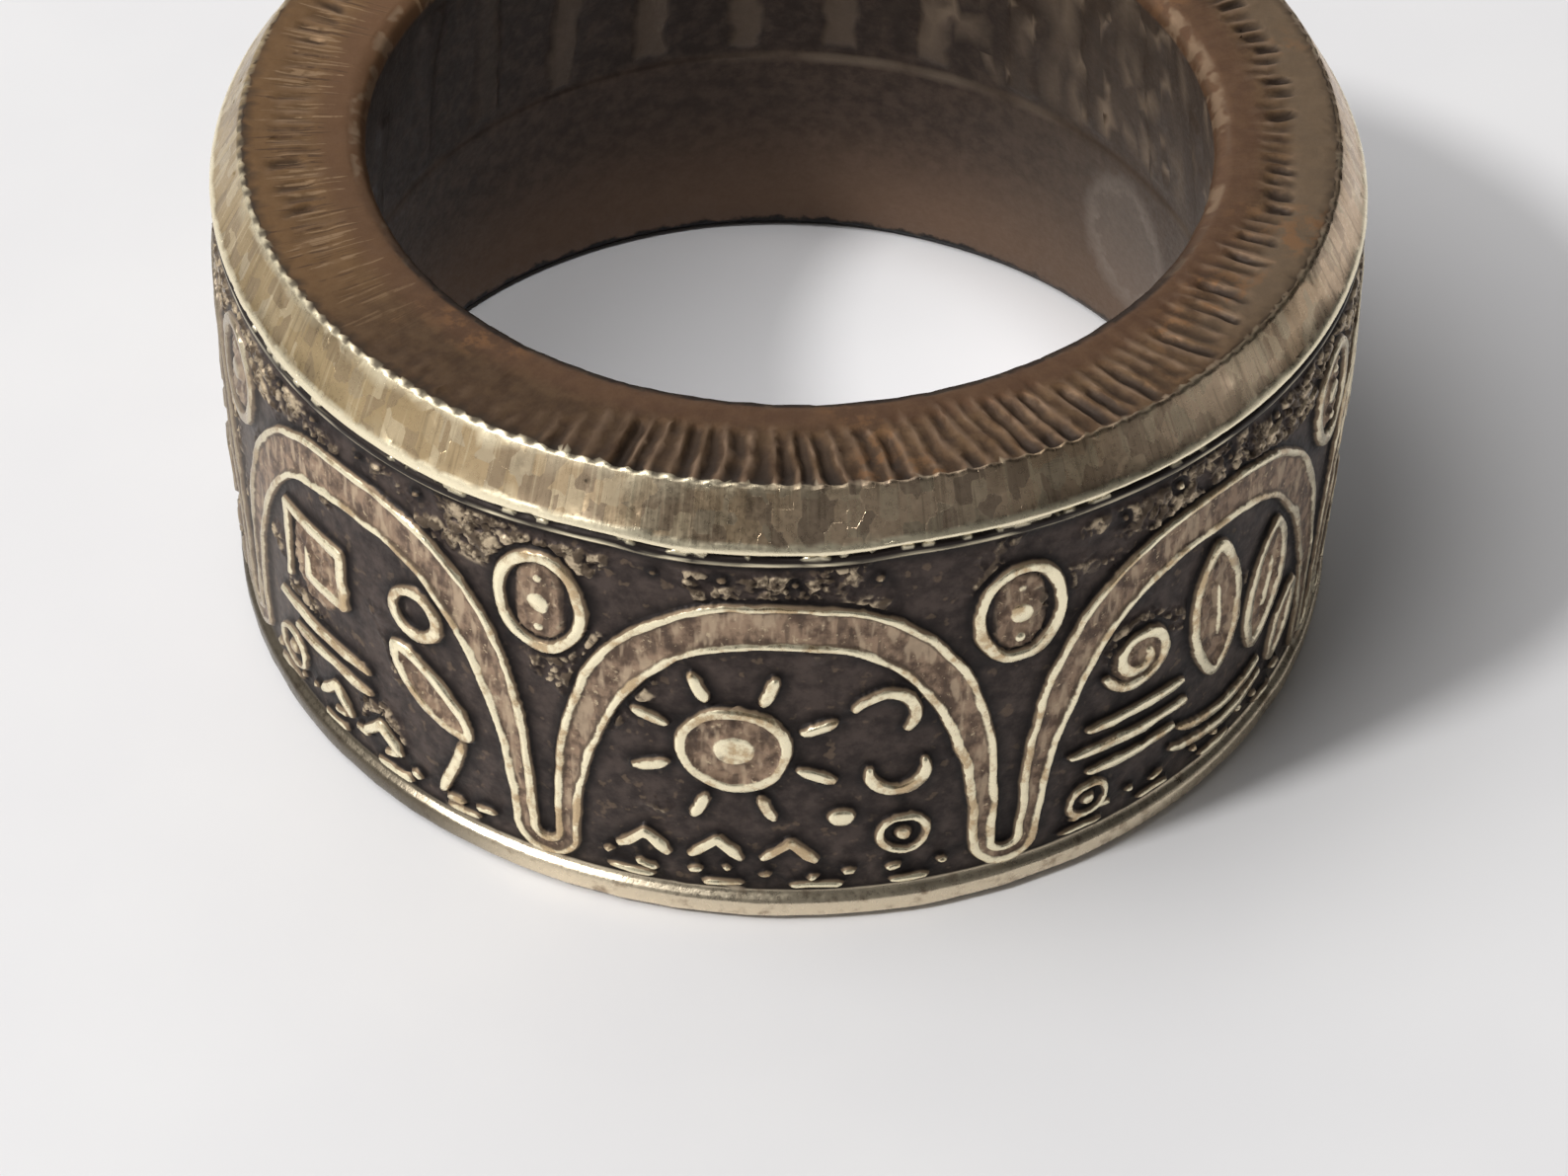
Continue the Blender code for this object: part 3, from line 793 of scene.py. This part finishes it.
# Loose grains lie over the arches and here and there on the ground
gap = product(highest(in_line, in_round, in_ribbon), -1.0)
clear_ground = ramp(gap, *CLEAR_GROUND)
above_arches = ramp(height, *GRAINS_START)
below_border = fade(height, FIELD_TOP - 0.0003, FIELD_TOP - 0.0001)
cluster = ramp(noise(wall_place, 430.0), 0.41, 0.50)
stray_cluster = ramp(noise(wall_place, 380.0, 1.0), 0.60, 0.67, 0.0, 0.8)
grain_noise = noise(wall_place, 3600.0, 1.0).outputs["Color"]
grain_shift = vector("SUBTRACT", grain_noise, (0.5, 0.5, 0.5))
grain_shift = vector("MULTIPLY", grain_shift, (GRAIN_WANDER,) * 3)
grain_place = vector("ADD", wall_place, grain_shift)
grain_cells = cells(grain_place, 3300.0)
grain_top = ramp(grain_cells.outputs["Distance"], 0.80, 0.35)
grain_zone = highest(product(above_arches, below_border, cluster), stray_cluster)
grain_rise = product(grain_top, grain_zone, clear_ground, on_wall, 0.8)

relief = product(highest(line_rise, round_rise, ribbon_rise, pad_rise, grain_rise), on_wall)
hammered = uneven(wall_place, 2600.0)
hammering = weighted(GROUND_HAMMERING, (ribbon_hollow, RIBBON_HAMMERING))
rough_floor = product(hammered, hammering, on_wall)
wall_out = total(product(relief, given["Relief height"]), rough_floor)

# Mill the reeds: one groove for each, of uneven depth, long on the front and faint on the left
reed_turn = product(angle, REED_COUNT / (2.0 * math.pi))
reed_wander = uneven(place, 500.0, 1.0)
reed_lean = product(share, facing("leaning reeds"), -1.1)
reed_kink = uneven(place, 1500.0, 1.0)
reed_turn = total(weighted(reed_turn, (reed_wander, 1.3), (reed_kink, 0.28)), reed_lean)
reed_number = calc("FLOOR", reed_turn)
reed_luck = node("ShaderNodeTexWhiteNoise", {"W": reed_number}, noise_dimensions="1D").outputs["Value"]
off_middle = calc("ABSOLUTE", minus(calc("FRACT", reed_turn), 0.5))
groove = ramp(off_middle, 0.50, 0.06)
on_left = facing("faint reeds")
near_left = facing("worn reeds")
on_front = facing("long reeds")
near_right = facing("broad reeds")
on_right = facing("short reeds")
start_weights = ((on_left, -0.10), (near_left, 0.25), (on_front, -0.16), (near_right, -0.18))
reed_start = weighted(0.30, *start_weights, (on_right, -0.12), (reed_luck, 0.18))
reed_in = ramp(share, reed_start, total(reed_start, 0.14))
end_weights = ((on_left, -0.20), (on_front, 0.25), (near_right, 0.05), (on_right, -0.30))
reed_end = weighted(0.90, *end_weights, (reed_luck, 0.12))
reed_out = fade(share, minus(reed_end, 0.14), reed_end)
reed_strength = weighted(1.0, (on_left, -0.40), (near_left, -0.75))
reed_luck_depth = ramp(reed_luck, 0.0, 1.0, 0.35, 1.0)
reed_breaks = noise(place, 1300.0)
reed_spots = ramp(reed_breaks, 0.36, 0.56, 0.45, 1.0)
reed_field = product(reed_in, reed_out, reed_strength, reed_spots, on_flat)
reed = product(groove, reed_luck_depth, reed_field)
reed_ridge = product(ramp(off_middle, 0.32, 0.44), ramp(reed_breaks, 0.60, 0.50), reed_field)
reed_bean = product(
    ramp(off_middle, 0.42, 0.24),
    ramp(share, minus(reed_end, 0.60), minus(reed_end, 0.38)),
    reed_luck_depth,
    reed_field,
)
notch_place = highest(
    product(on_bevel, ramp(share, 0.075, 0.035)),
    product(on_flat, ramp(share, 0.90, 0.95)),
)
notch = product(ramp(off_middle, 0.34, 0.18), notch_place, facing("notches"))
outlined = highest(on_left, facing("face outline"), near_left)
face_outline = product(on_flat, ramp(share, 0.93, 0.96), outlined)
face_edge = product(on_flat, ramp(share, 0.94, 0.99))
edge_tick = highest(face_edge, product(on_bevel, ramp(share, 0.08, 0.01)))
edge_tick = product(edge_tick, groove, 0.26)
face_grain = product(uneven(place, 1800.0, 3.0), FACE_GRAIN)
milled = product(highest(reed, edge_tick), given["Reed depth"], -1.0)
chipped = ramp(noise(place, 1500.0), 0.52, 0.62)
lip_chips = product(chipped, on_round, -LIP_CHIP_DEPTH)
face_out = total(milled, product(on_face, face_grain), lip_chips)

# Dent the bevel and let its border run unevenly, as a hammer left it
dents = product(uneven(place, 700.0, 1.0), BEVEL_DENTS)
pit_cells = cells(place, 1500.0)
pits = product(ramp(pit_cells.outputs["Distance"], 0.13, 0.05), -PIT_DEPTH)
bevel_middle = between(share, 0.0, 0.2, 0.8, 1.0)
bevel_out = product(total(dents, pits), bevel_middle, on_bevel)
ragged = product(uneven(wall_place, 1900.0, 3.0), minus(0.42, product(on_bevel, 0.24)))
slow_wave = product(uneven(wall_place, 420.0, 1.0), 0.5)
border_share = total(share, ragged, product(slow_wave, on_border))
in_groove = product(between(share, 0.04, 0.12, 0.30, 0.40), on_border)
on_ridge = product(between(border_share, 0.54, 0.61, 0.74, 0.83), on_border)
bridge = ramp(noise(wall_place, 1700.0), 0.56, 0.60)
ridge_luck = ramp(noise(wall_place, 1100.0), 0.38, 0.56, 0.15, 1.0)
over_line = product(on_bevel, ramp(border_share, 0.84, 0.89))
foot_line = highest(over_line, product(on_border, ramp(border_share, 0.13, 0.05)))
# Painted highlight: a bright line along the bevel's top edge, on the left-front side only
top_highlight = product(on_bevel, ramp(border_share, 0.12, 0.05), facing("top highlight"))
bridges = product(bridge, in_groove, facing("bridges"))
border_out = total(product(bridges, BRIDGE_HEIGHT), product(foot_line, FOOT_LINE_HEIGHT))


def wave(turned, waves, size):
    """A slow wave of the border line, some whole waves once round."""
    turn = total(angle, math.radians(turned))
    return product(calc("COSINE", product(turn, waves)), size)


dip = wave(68.0, 3.0, BORDER_DIP)
sway = wave(60.0, 2.0, BORDER_SWAY)
left_knock = product(facing("left knock"), LEFT_KNOCK)
front_knock = product(facing("front knock"), FRONT_KNOCK)
wall_hold = product(on_wall, ramp(height, FIELD_TOP - 0.0008, FIELD_TOP))
border_hold = total(product(on_bevel, share, share), on_border, wall_hold)
border_shift = product(total(dip, sway, left_knock, front_knock), border_hold)

# Leave the worn blocks in the hollow, and small knocks on the rim
block_turn = product(angle, REMNANT_COUNT / (2.0 * math.pi))
block_number = calc("ROUND", block_turn)
block_aside = calc("ABSOLUTE", minus(block_turn, block_number))
block_aside = product(block_aside, radius, 2.0 * math.pi / REMNANT_COUNT)
block_index = calc("FLOORED_MODULO", block_number, float(REMNANT_COUNT))
block_tall = calc("POWER", calc("SINE", product(block_index, 2.4)), 2.0)
block_tall = total(0.55, product(block_tall, 0.4))
block_low = HOLLOW_STEP_HEIGHT + 6.0 * HOLLOW_STEP
block_tallest = BAND_HEIGHT - FACE_DISH - INNER_ROUND - block_low
block_high = total(block_low, product(block_tall, block_tallest))
block_ragged = product(uneven(place, 1100.0), BLOCK_RAGGEDNESS)
block_up = total(height, block_ragged)
block = product(
    ramp(total(block_aside, block_ragged), *BLOCK_SIDE),
    ramp(block_up, block_low - 0.0001, block_low + 0.0002),
    fade(minus(block_up, block_high), -0.00015, 0.00015),
    in_hollow,
)
hollow_dents = product(uneven(place, 420.0), HOLLOW_DENTS, in_hollow)
hollow_out = total(product(block, REMNANT_HEIGHT), hollow_dents)
rim_out = product(minus(noise(place, 800.0), 0.62), RIM_KNOCKS, on_rim)

# Move every point by what its zone says, and note for the metal what was done there
lift = total(wall_out, face_out, bevel_out, border_out, hollow_out, rim_out)
new_radius = total(radius, product(lift, lean_out))
new_height = total(height, product(lift, lean_up), border_shift)
new_place = around(new_radius, angle, highest(new_height, 0.0))
ribbon_floor_mask = product(ribbon_hollow, on_wall)
ribbon_edge = product(ribbon_floor_mask, minus(1.0, ribbon_hollow), 4.0)
shade = highest(
    fade(gap, *SHADE_REACH),
    ramp(height, FIELD_FOOT + 0.00028, FIELD_FOOT + 0.00008),
    ramp(height, FIELD_TOP - 0.0002, FIELD_TOP),
)
# Painted highlight along the ledge of the hollow's step, on one side
from_step = calc("ABSOLUTE", minus(height, HOLLOW_STEP_HEIGHT))
step_line = product(
    ramp(from_step, 0.00014, 0.00005),
    ramp(noise(place, 500.0), 0.42, 0.6),
    facing("step highlight"),
    in_hollow,
)
squiggle_place = vector("MULTIPLY", place, (900.0, 900.0, 420.0))
squiggles = product(
    ramp(calc("ABSOLUTE", uneven(squiggle_place, 1.0, 1.0)), 0.035, 0.015),
    facing("squiggles"),
    ramp(height, block_low, block_low + 0.0005),
    in_hollow,
)
pad_mask = product(ramp(in_pad, *PAD_FLOOR), on_wall)
# Bright cream where edges, the ridge and the bridges are rubbed; the foot line is partly painted highlight
# and the top line is all painted highlight
rubbed = highest(foot_line, product(top_highlight, 0.9), product(on_ridge, ridge_luck), bridges)
notes = {
    "relief": relief,
    "ribbon_floor": highest(ribbon_floor_mask, pad_mask),
    "shade": product(shade, on_wall),
    "ribbon_edge": ribbon_edge,
    "step_line": step_line,
    "lip": on_round,
    # Painted shade on the inner edge of the lip at the front
    "near_lip": product(on_round, facing("shaded lip")),
    "face_outline": face_outline,
    "notch": notch,
    "stain": product(facing("stain"), ramp(share, 0.15, 0.45)),
    "golden": on_left,
    "olive": product(facing("olive"), ramp(share, 0.42, 0.62)),
    "grain": grain_rise,
    "reed": highest(reed, edge_tick),
    "reed_ridge": reed_ridge,
    "reed_bean": reed_bean,
    "face_share": product(share, on_flat),
    "block": product(block, facing("pale blocks"), minus(1.0, facing("no blocks"))),
    "squiggle": squiggles,
    "rubbed": rubbed,
    "on_face": on_face,
    "on_bevel": on_bevel,
    "on_border": on_border,
    "on_rim": on_rim,
    "in_hollow": in_hollow,
}
noted = rolled
for label, value in notes.items():
    noted = keep(noted, label, value)
moved = node("GeometryNodeSetPosition", {"Geometry": noted, "Position": new_place})
smooth = node("GeometryNodeSetShadeSmooth", {"Geometry": moved})
for label in ("lean_out", "lean_up", "zone", "radius", "height"):
    smooth = node("GeometryNodeRemoveAttribute", {"Geometry": smooth, "Name": label})
real = node("GeometryNodeRealizeInstances", {"Geometry": smooth})
finished = node("GeometryNodeSetMaterial", {"Geometry": real, "Material": given["Metal"]})
node("NodeGroupOutput", (finished,))


# The metal of the band
# Pale brass, blackened in a bath of liver of sulphur and rubbed back by hand: raised lines and the
# bevel shine, the sunk ground stays near black, and the face and the hollow are brown.
metal = bpy.data.materials.new("aged brass")
metal.use_nodes = True
trees.append(metal.node_tree)
shader = metal.node_tree.nodes["Principled BSDF"]


def note(label, strength=None):
    """What the tree noted on the points, weakened where a strength is given."""
    found = node("ShaderNodeAttribute", attribute_name=label, attribute_type="GEOMETRY").outputs["Fac"]
    return found if strength is None else product(found, strength)


def mix(share, first, second):
    """Blend two tones; a plain tone is red, green and blue."""
    first, second = ((*tone, 1.0) if isinstance(tone, tuple) else tone for tone in (first, second))
    return node("ShaderNodeMix", {0: share, 6: first, 7: second}, data_type="RGBA").outputs[2]


def layered(under, *layers):
    """Lay tones over the one under them, each by its own share."""
    for share, over in layers:
        under = mix(share, under, over)
    return under


def mix_number(share, first, second):
    feeds = {0: share, 2: first, 3: second}
    return node("ShaderNodeMix", feeds, data_type="FLOAT").outputs[0]


spot = node("ShaderNodeTexCoord").outputs["Object"]
spot_x, spot_y, spot_z = node("ShaderNodeSeparateXYZ", (spot,)).outputs
spot_round = vector("NORMALIZE", vector("MULTIPLY", spot, (1.0, 1.0, 0.0)))
round_x, round_y = node("ShaderNodeSeparateXYZ", (spot_round,)).outputs[:2]
wrap = node("ShaderNodeCombineXYZ", (round_x, round_y, spot_z))
broad = noise(spot, 260.0, 3.0)
mottle = noise(spot, 2300.0, 4.0, 0.6)
mottle_off = minus(mottle, 0.5)
flecks = noise(spot, 7000.0, 3.0, 0.6)
dust = noise(spot, 21000.0, 2.0, 0.6)

# Wall: ground, sides of the lines, hammered ribbon and bright crests
specks = noise(spot, 3100.0)
ground = layered(
    mix(ramp(mottle, 0.32, 0.68), (0.036, 0.026, 0.023), (0.084, 0.062, 0.053)),
    (ramp(specks, 0.62, 0.70, 0.0, 0.6), (0.17, 0.120, 0.080)),
    (note("shade", 0.85), (0.009, 0.007, 0.007)),
)
floor_tone = mix(ramp(mottle, 0.35, 0.62), (0.13, 0.085, 0.060), (0.36, 0.25, 0.17))
uprights = noise(vector("MULTIPLY", wrap, (52.0, 52.0, 1100.0)), 1.0)
floor_tone = layered(
    floor_tone,
    (ramp(uprights, 0.52, 0.66, 0.0, 0.7), (0.55, 0.42, 0.29)),
    (ramp(uprights, 0.46, 0.34, 0.0, 0.6), (0.08, 0.055, 0.042)),
    (ramp(flecks, 0.60, 0.72), (0.58, 0.46, 0.31)),
    (note("ribbon_edge", 0.75), (0.035, 0.024, 0.020)),
)
wall_tone = mix(note("ribbon_floor"), ground, floor_tone)
side = ramp(note("relief"), 0.25, 0.60)
side = product(side, minus(1.0, note("ribbon_floor")))
wall_tone = mix(side, wall_tone, (0.23, 0.165, 0.105))
crest_height = total(note("relief"), product(mottle_off, 0.5))
crest = ramp(crest_height, 0.62, 0.80)
crest_luck = weighted(product(noise(spot, 1300.0), 0.7), (flecks, 0.3))
crest_tone = mix(ramp(crest_luck, 0.38, 0.53), (0.60, 0.45, 0.27), (1.0, 0.90, 0.64))
# Painted light: at the far left the wall is greyed and its crests dulled as a painted pale sheen, and at
# the far right the crests are darkened as painted shade
left_sheen = ramp(spot_x, -0.0105, -0.0130)
right_shade = ramp(spot_x, 0.0085, 0.0120, 0.0, 0.5)
crest_tone = mix(highest(left_sheen, right_shade), crest_tone, (0.42, 0.35, 0.26))
wall_tone = layered(wall_tone, (product(left_sheen, 0.42), (0.27, 0.24, 0.215)), (crest, crest_tone))
grain_tone = mix(ramp(mottle, 0.45, 0.60), (0.11, 0.080, 0.055), (0.56, 0.45, 0.31))
wall_tone = mix(ramp(note("grain"), 0.2, 0.55), wall_tone, grain_tone)

# Bevel, border and rim: rubbed bright, with brown left in patches, pits and fine upright scratches; painted
# light and shade also change their tone from side to side
scratch_place = vector("MULTIPLY", wrap, (110.0, 110.0, 500.0))
scratches = noise(scratch_place, 1.0)
patch_place = vector("MULTIPLY", wrap, (36.0, 36.0, 2000.0))
patches = cells(patch_place, 1.0, 0.8, "CHEBYCHEV")
patch_parts = node("ShaderNodeSeparateColor", (patches.outputs["Color"],))
# Painted light: the bevel is darker on the left and brighter on the right, standing in for how much light
# each side mirrors
toward_right = ramp(spot_x, -0.011, 0.005)
left_tone = mix(ramp(broad, 0.36, 0.62), (0.41, 0.30, 0.160), (0.49, 0.365, 0.20))
right_sheen_tone = mix(ramp(broad, 0.36, 0.62), (0.60, 0.435, 0.275), (0.78, 0.59, 0.41))
at_front = ramp(spot_y, -0.0105, -0.0122)
# Painted shade: extra dark patches on the front of the bevel, which mirrors the dark room there
front_shade_patch = product(at_front, ramp(patch_parts.outputs[0], 0.46, 0.62, 0.0, 0.26))
bevel_tone = layered(
    mix(toward_right, left_tone, right_sheen_tone),
    (ramp(patch_parts.outputs[0], 0.50, 0.65, 0.0, 0.32), (0.22, 0.165, 0.125)),
    (front_shade_patch, (0.20, 0.155, 0.135)),
    (ramp(patch_parts.outputs[1], 0.70, 0.80, 0.0, 0.35), (0.80, 0.69, 0.48)),
    (ramp(scratches, 0.58, 0.66, 0.0, 0.25), (0.88, 0.75, 0.50)),
    (ramp(scratches, 0.42, 0.34, 0.0, 0.28), (0.17, 0.12, 0.075)),
    (ramp(flecks, 0.70, 0.78, 0.0, 0.3), (0.10, 0.07, 0.045)),
)
rim_tone = layered(
    mix(ramp(mottle, 0.50, 0.75), (0.76, 0.65, 0.48), (0.38, 0.29, 0.20)),
    # Painted shade: the rim's colour is darker on the left, set for how the light falls there
    (ramp(spot_x, -0.0045, -0.0085, 0.0, 0.9), (0.075, 0.062, 0.045)),
)

# Top face: brown, with pale ridges between dark reeds and a smooth reddish strip by the hollow
streak_place = vector("MULTIPLY", spot_round, (90.0, 90.0, 0.0))
streaks = noise(streak_place, 1.0, 3.0)
inner_strip = ramp(note("face_share"), 0.40, 0.16, 0.0, 0.6)
rust = product(ramp(broad, 0.56, 0.66), ramp(mottle, 0.45, 0.6), 0.6)
tick_place = vector("MULTIPLY", spot_round, (105.0, 105.0, 0.0))
ticks = noise(tick_place, 1.0)
tick_ends = noise(vector("ADD", tick_place, (7.0, 3.0, 0.0)), 0.8, 0.0)
tick_share = total(note("face_share"), product(mottle, 0.4), tick_ends, -0.7)
tick_field = product(
    note("golden"),
    ramp(tick_share, 0.22, 0.30),
    ramp(tick_share, 0.72, 0.62),
    ramp(specks, 0.34, 0.50, 0.2, 0.95),
)
dark_tick = product(ramp(ticks, 0.47, 0.41), tick_field)
pale_tick = product(ramp(ticks, 0.53, 0.58), tick_field)
lip_chip = product(note("lip"), ramp(noise(spot, 1500.0), 0.50, 0.60))
face_tone = layered(
    mix(ramp(mottle, 0.3, 0.7), (0.088, 0.048, 0.025), (0.160, 0.094, 0.048)),
    (ramp(streaks, 0.48, 0.66, 0.0, 0.12), (0.215, 0.138, 0.070)),
    (note("golden", 0.65), (0.215, 0.118, 0.050)),
    (note("olive", 0.7), (0.175, 0.125, 0.080)),
    (inner_strip, (0.120, 0.060, 0.034)),
    (note("stain", 0.5), (0.050, 0.028, 0.016)),
    (note("reed_ridge", 0.85), (0.30, 0.200, 0.132)),
    (rust, (0.25, 0.12, 0.05)),
    (ramp(note("reed"), 0.10, 0.70, 0.0, 0.66), (0.036, 0.024, 0.017)),
    (note("reed_bean", 0.9), (0.026, 0.017, 0.012)),
    (dark_tick, (0.105, 0.058, 0.030)),
    (pale_tick, (0.29, 0.185, 0.103)),
    (note("face_outline", 0.8), (0.030, 0.021, 0.015)),
    (product(lip_chip, 0.8), (0.24, 0.16, 0.10)),
    # Painted shade: the lip on the near side nearly black
    (note("near_lip", 0.85), (0.018, 0.012, 0.009)),
)

# Hollow: dark brown, with a painted warm glow towards the base and painted light on its right side
low_hollow_glow = ramp(spot_z, 0.0050, 0.0004)
above_step = ramp(spot_z, 0.0062, 0.0068)
blackened = product(above_step, ramp(mottle, 0.75, 0.35, 0.3, 0.75))
foot_height = total(spot_z, product(mottle_off, 0.0006))
hollow_right_light = ramp(spot_x, 0.0035, 0.0085, 0.0, 0.4)
# A paler oval low on the right, with a paler edge
oval_off = vector("SUBTRACT", spot, (0.0088, 0.0063, 0.0036))
oval_off = vector("MULTIPLY", oval_off, (650.0, 650.0, 460.0))
oval_reach = total(vector("LENGTH", oval_off).outputs["Value"], product(mottle, 0.5))
oval_fill = ramp(oval_reach, 1.35, 1.05, 0.0, 0.3)
oval_edge = product(ramp(oval_reach, 0.80, 1.1), ramp(oval_reach, 1.45, 1.15), mottle, 0.9)
hollow_tone = layered(
    mix(ramp(mottle, 0.3, 0.7), (0.044, 0.029, 0.021), (0.078, 0.052, 0.038)),
    (blackened, (0.026, 0.017, 0.013)),
    # Painted reflection: a warm glow low in the hollow, where it mirrors the lit floor
    (product(low_hollow_glow, 0.7), (0.20, 0.122, 0.078)),
    (note("block", 0.65), (0.15, 0.108, 0.076)),
    # Painted shade, with some dirt, in a dark band where the hollow's foot meets the table
    (ramp(foot_height, 0.00036, 0.00020), (0.010, 0.009, 0.009)),
    # Painted highlight on the step's ledge
    (note("step_line", 0.6), (0.22, 0.17, 0.125)),
    # Painted light on the right of the hollow, the wall that faces the lamp
    (hollow_right_light, (0.120, 0.086, 0.060)),
    (note("squiggle", 0.85), (0.24, 0.175, 0.120)),
    (highest(oval_fill, oval_edge), (0.25, 0.205, 0.17)),
)

tone = layered(
    mix(note("on_face"), wall_tone, face_tone),
    (note("on_bevel"), bevel_tone),
    (note("on_border"), (0.022, 0.016, 0.014)),
    # Rubbed edges and painted highlights in bright cream
    (note("rubbed"), (1.0, 0.89, 0.64)),
    (note("notch", 0.9), (0.036, 0.025, 0.017)),
    (note("on_rim"), rim_tone),
    (note("in_hollow"), hollow_tone),
)

polish = highest(crest, note("on_bevel"), note("rubbed"), note("on_rim"))
polish = product(polish, minus(1.0, note("notch")))
roughness = mix_number(polish, 0.52, 0.30)
roughness = total(roughness, product(minus(flecks, 0.5), 0.35))
bumps = weighted(product(mottle, 0.5), (flecks, 0.35), (dust, 0.12))
filed = weighted(product(scratches, 0.4), (patch_parts.outputs[2], 0.16), (dust, 0.1))
bumps = mix_number(note("on_bevel"), bumps, filed)
bump = node("ShaderNodeBump", {"Strength": 0.5, "Distance": 0.00003, "Height": bumps})
metallic = mix_number(polish, 0.5, 1.0)
finish = (("Base Color", tone), ("Roughness", roughness.outputs[0]), ("Metallic", metallic))
for label, value in (*finish, ("Normal", bump.outputs[0])):
    metal.node_tree.links.new(value, shader.inputs[label])
shader.inputs["Specular IOR Level"].default_value = 0.25

blank = in_scene("band_blank", bpy.data.meshes.new("band_blank"))
striking = blank.modifiers.new("striking", "NODES")
striking.node_group = band_tree
for label, kind, value in named_inputs:
    socket = next(item for item in band_tree.interface.items_tree if item.name == label)
    striking[socket.identifier] = metal if label == "Metal" else value
thinning = blank.modifiers.new("thinning", "DECIMATE")
thinning.ratio = MOST_TRIANGLES / (2.0 * len(rows) * REED_COUNT * STEPS_TO_A_REED)

graph = bpy.context.evaluated_depsgraph_get()
band_mesh = bpy.data.meshes.new_from_object(blank.evaluated_get(graph))

# The sheet was rolled with its faces towards the metal, so they are turned to point outwards
band_mesh.flip_normals()
coin_ring = in_scene("coin_ring", band_mesh)
for helper in ("band_blank", "section", "lines", "rounds", "pads", "ribbon"):
    bpy.data.objects.remove(bpy.data.objects[helper])
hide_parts("ring_band")
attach(coin_ring, "root")


# The table top and the light
# A plain pale surface, lit by a lamp and a wide window high on the left. A narrow lamp straight above
# brightens the floor inside the ring, and the dark room has a few soft glows for the metal to mirror.
TABLE_HALF = 1.5
TABLE_DROP = 0.00002

table_mesh = bpy.data.meshes.new("table_top")
table_sides = ((-1.0, -1.0), (1.0, -1.0), (1.0, 1.0), (-1.0, 1.0))
table_corners = [(x * TABLE_HALF, y * TABLE_HALF, -TABLE_DROP) for x, y in table_sides]
table_mesh.from_pydata(table_corners, [], [(0, 1, 2, 3)])
table_top = in_scene("table_top", table_mesh)
paint = bpy.data.materials.new("pale paint")
paint.use_nodes = True
trees.append(paint.node_tree)
paint_shader = paint.node_tree.nodes["Principled BSDF"]
paint_spot = node("ShaderNodeTexCoord").outputs["Object"]
paint_mottle = noise(paint_spot, 90.0, 3.0)
paint_tone = mix(ramp(paint_mottle, 0.3, 0.7), (0.79, 0.785, 0.80), (0.82, 0.815, 0.825))
paint.node_tree.links.new(paint_tone, paint_shader.inputs["Base Color"])
paint_shader.inputs["Roughness"].default_value = 0.45
table_mesh.materials.append(paint)


def soft_light(name, place, aim, size, power, colour):
    light = bpy.data.lights.new(name, "AREA")
    light.shape = "DISK"
    light.size = size
    light.energy = power
    light.color = colour
    holder = in_scene(name, light)
    holder.location = place
    holder.rotation_mode = "QUATERNION"
    holder.rotation_quaternion = (Vector(place) - Vector(aim)).to_track_quat("Z", "Y")


soft_light("lamp", (-0.973, -0.541, 1.152), (0.0, 0.0, 0.0), 0.192, 14.0, (1.0, 0.995, 0.98))
soft_light("window", (-0.781, -0.176, 1.386), (0.0, 0.0, 0.0), 1.28, 13.2, (1.0, 0.995, 0.99))
snoot = bpy.data.lights.new("snoot", "SPOT")
snoot.energy = 0.045
snoot.spot_size = math.radians(21.0)
snoot.spot_blend = 0.3
snoot.shadow_soft_size = 0.0015
in_scene("snoot", snoot).location = (-0.0018, 0.0018, 0.06)

room = bpy.data.worlds.new("room")
bpy.context.scene.world = room
room.use_nodes = True
trees.append(room.node_tree)
look = node("ShaderNodeTexCoord").outputs["Generated"]
# Direction of a glow, how near to it the glow starts and is full, strength
GLOWS = (
    ((-0.83, -0.52, 0.19), 0.72, 0.985, 0.74),
    ((0.985, -0.086, 0.100), 0.90, 0.99, 0.24),
    ((0.36, -0.90, 0.25), 0.60, 0.97, 0.115),
    ((-0.46, 0.77, 0.44), 0.44, 0.95, 0.68),
)
ROOM_GLIMMER = 0.035
room_light = ROOM_GLIMMER
for direction, starts, full, strength in GLOWS:
    nearness = vector("DOT_PRODUCT", look, direction).outputs["Value"]
    room_light = total(room_light, ramp(nearness, starts, full, 0.0, strength))
backdrop = room.node_tree.nodes["Background"]
room.node_tree.links.new(room_light.outputs[0], backdrop.inputs["Strength"])
backdrop.inputs["Color"].default_value = (1.0, 0.99, 0.98, 1.0)
bpy.context.scene.view_settings.view_transform = "Standard"
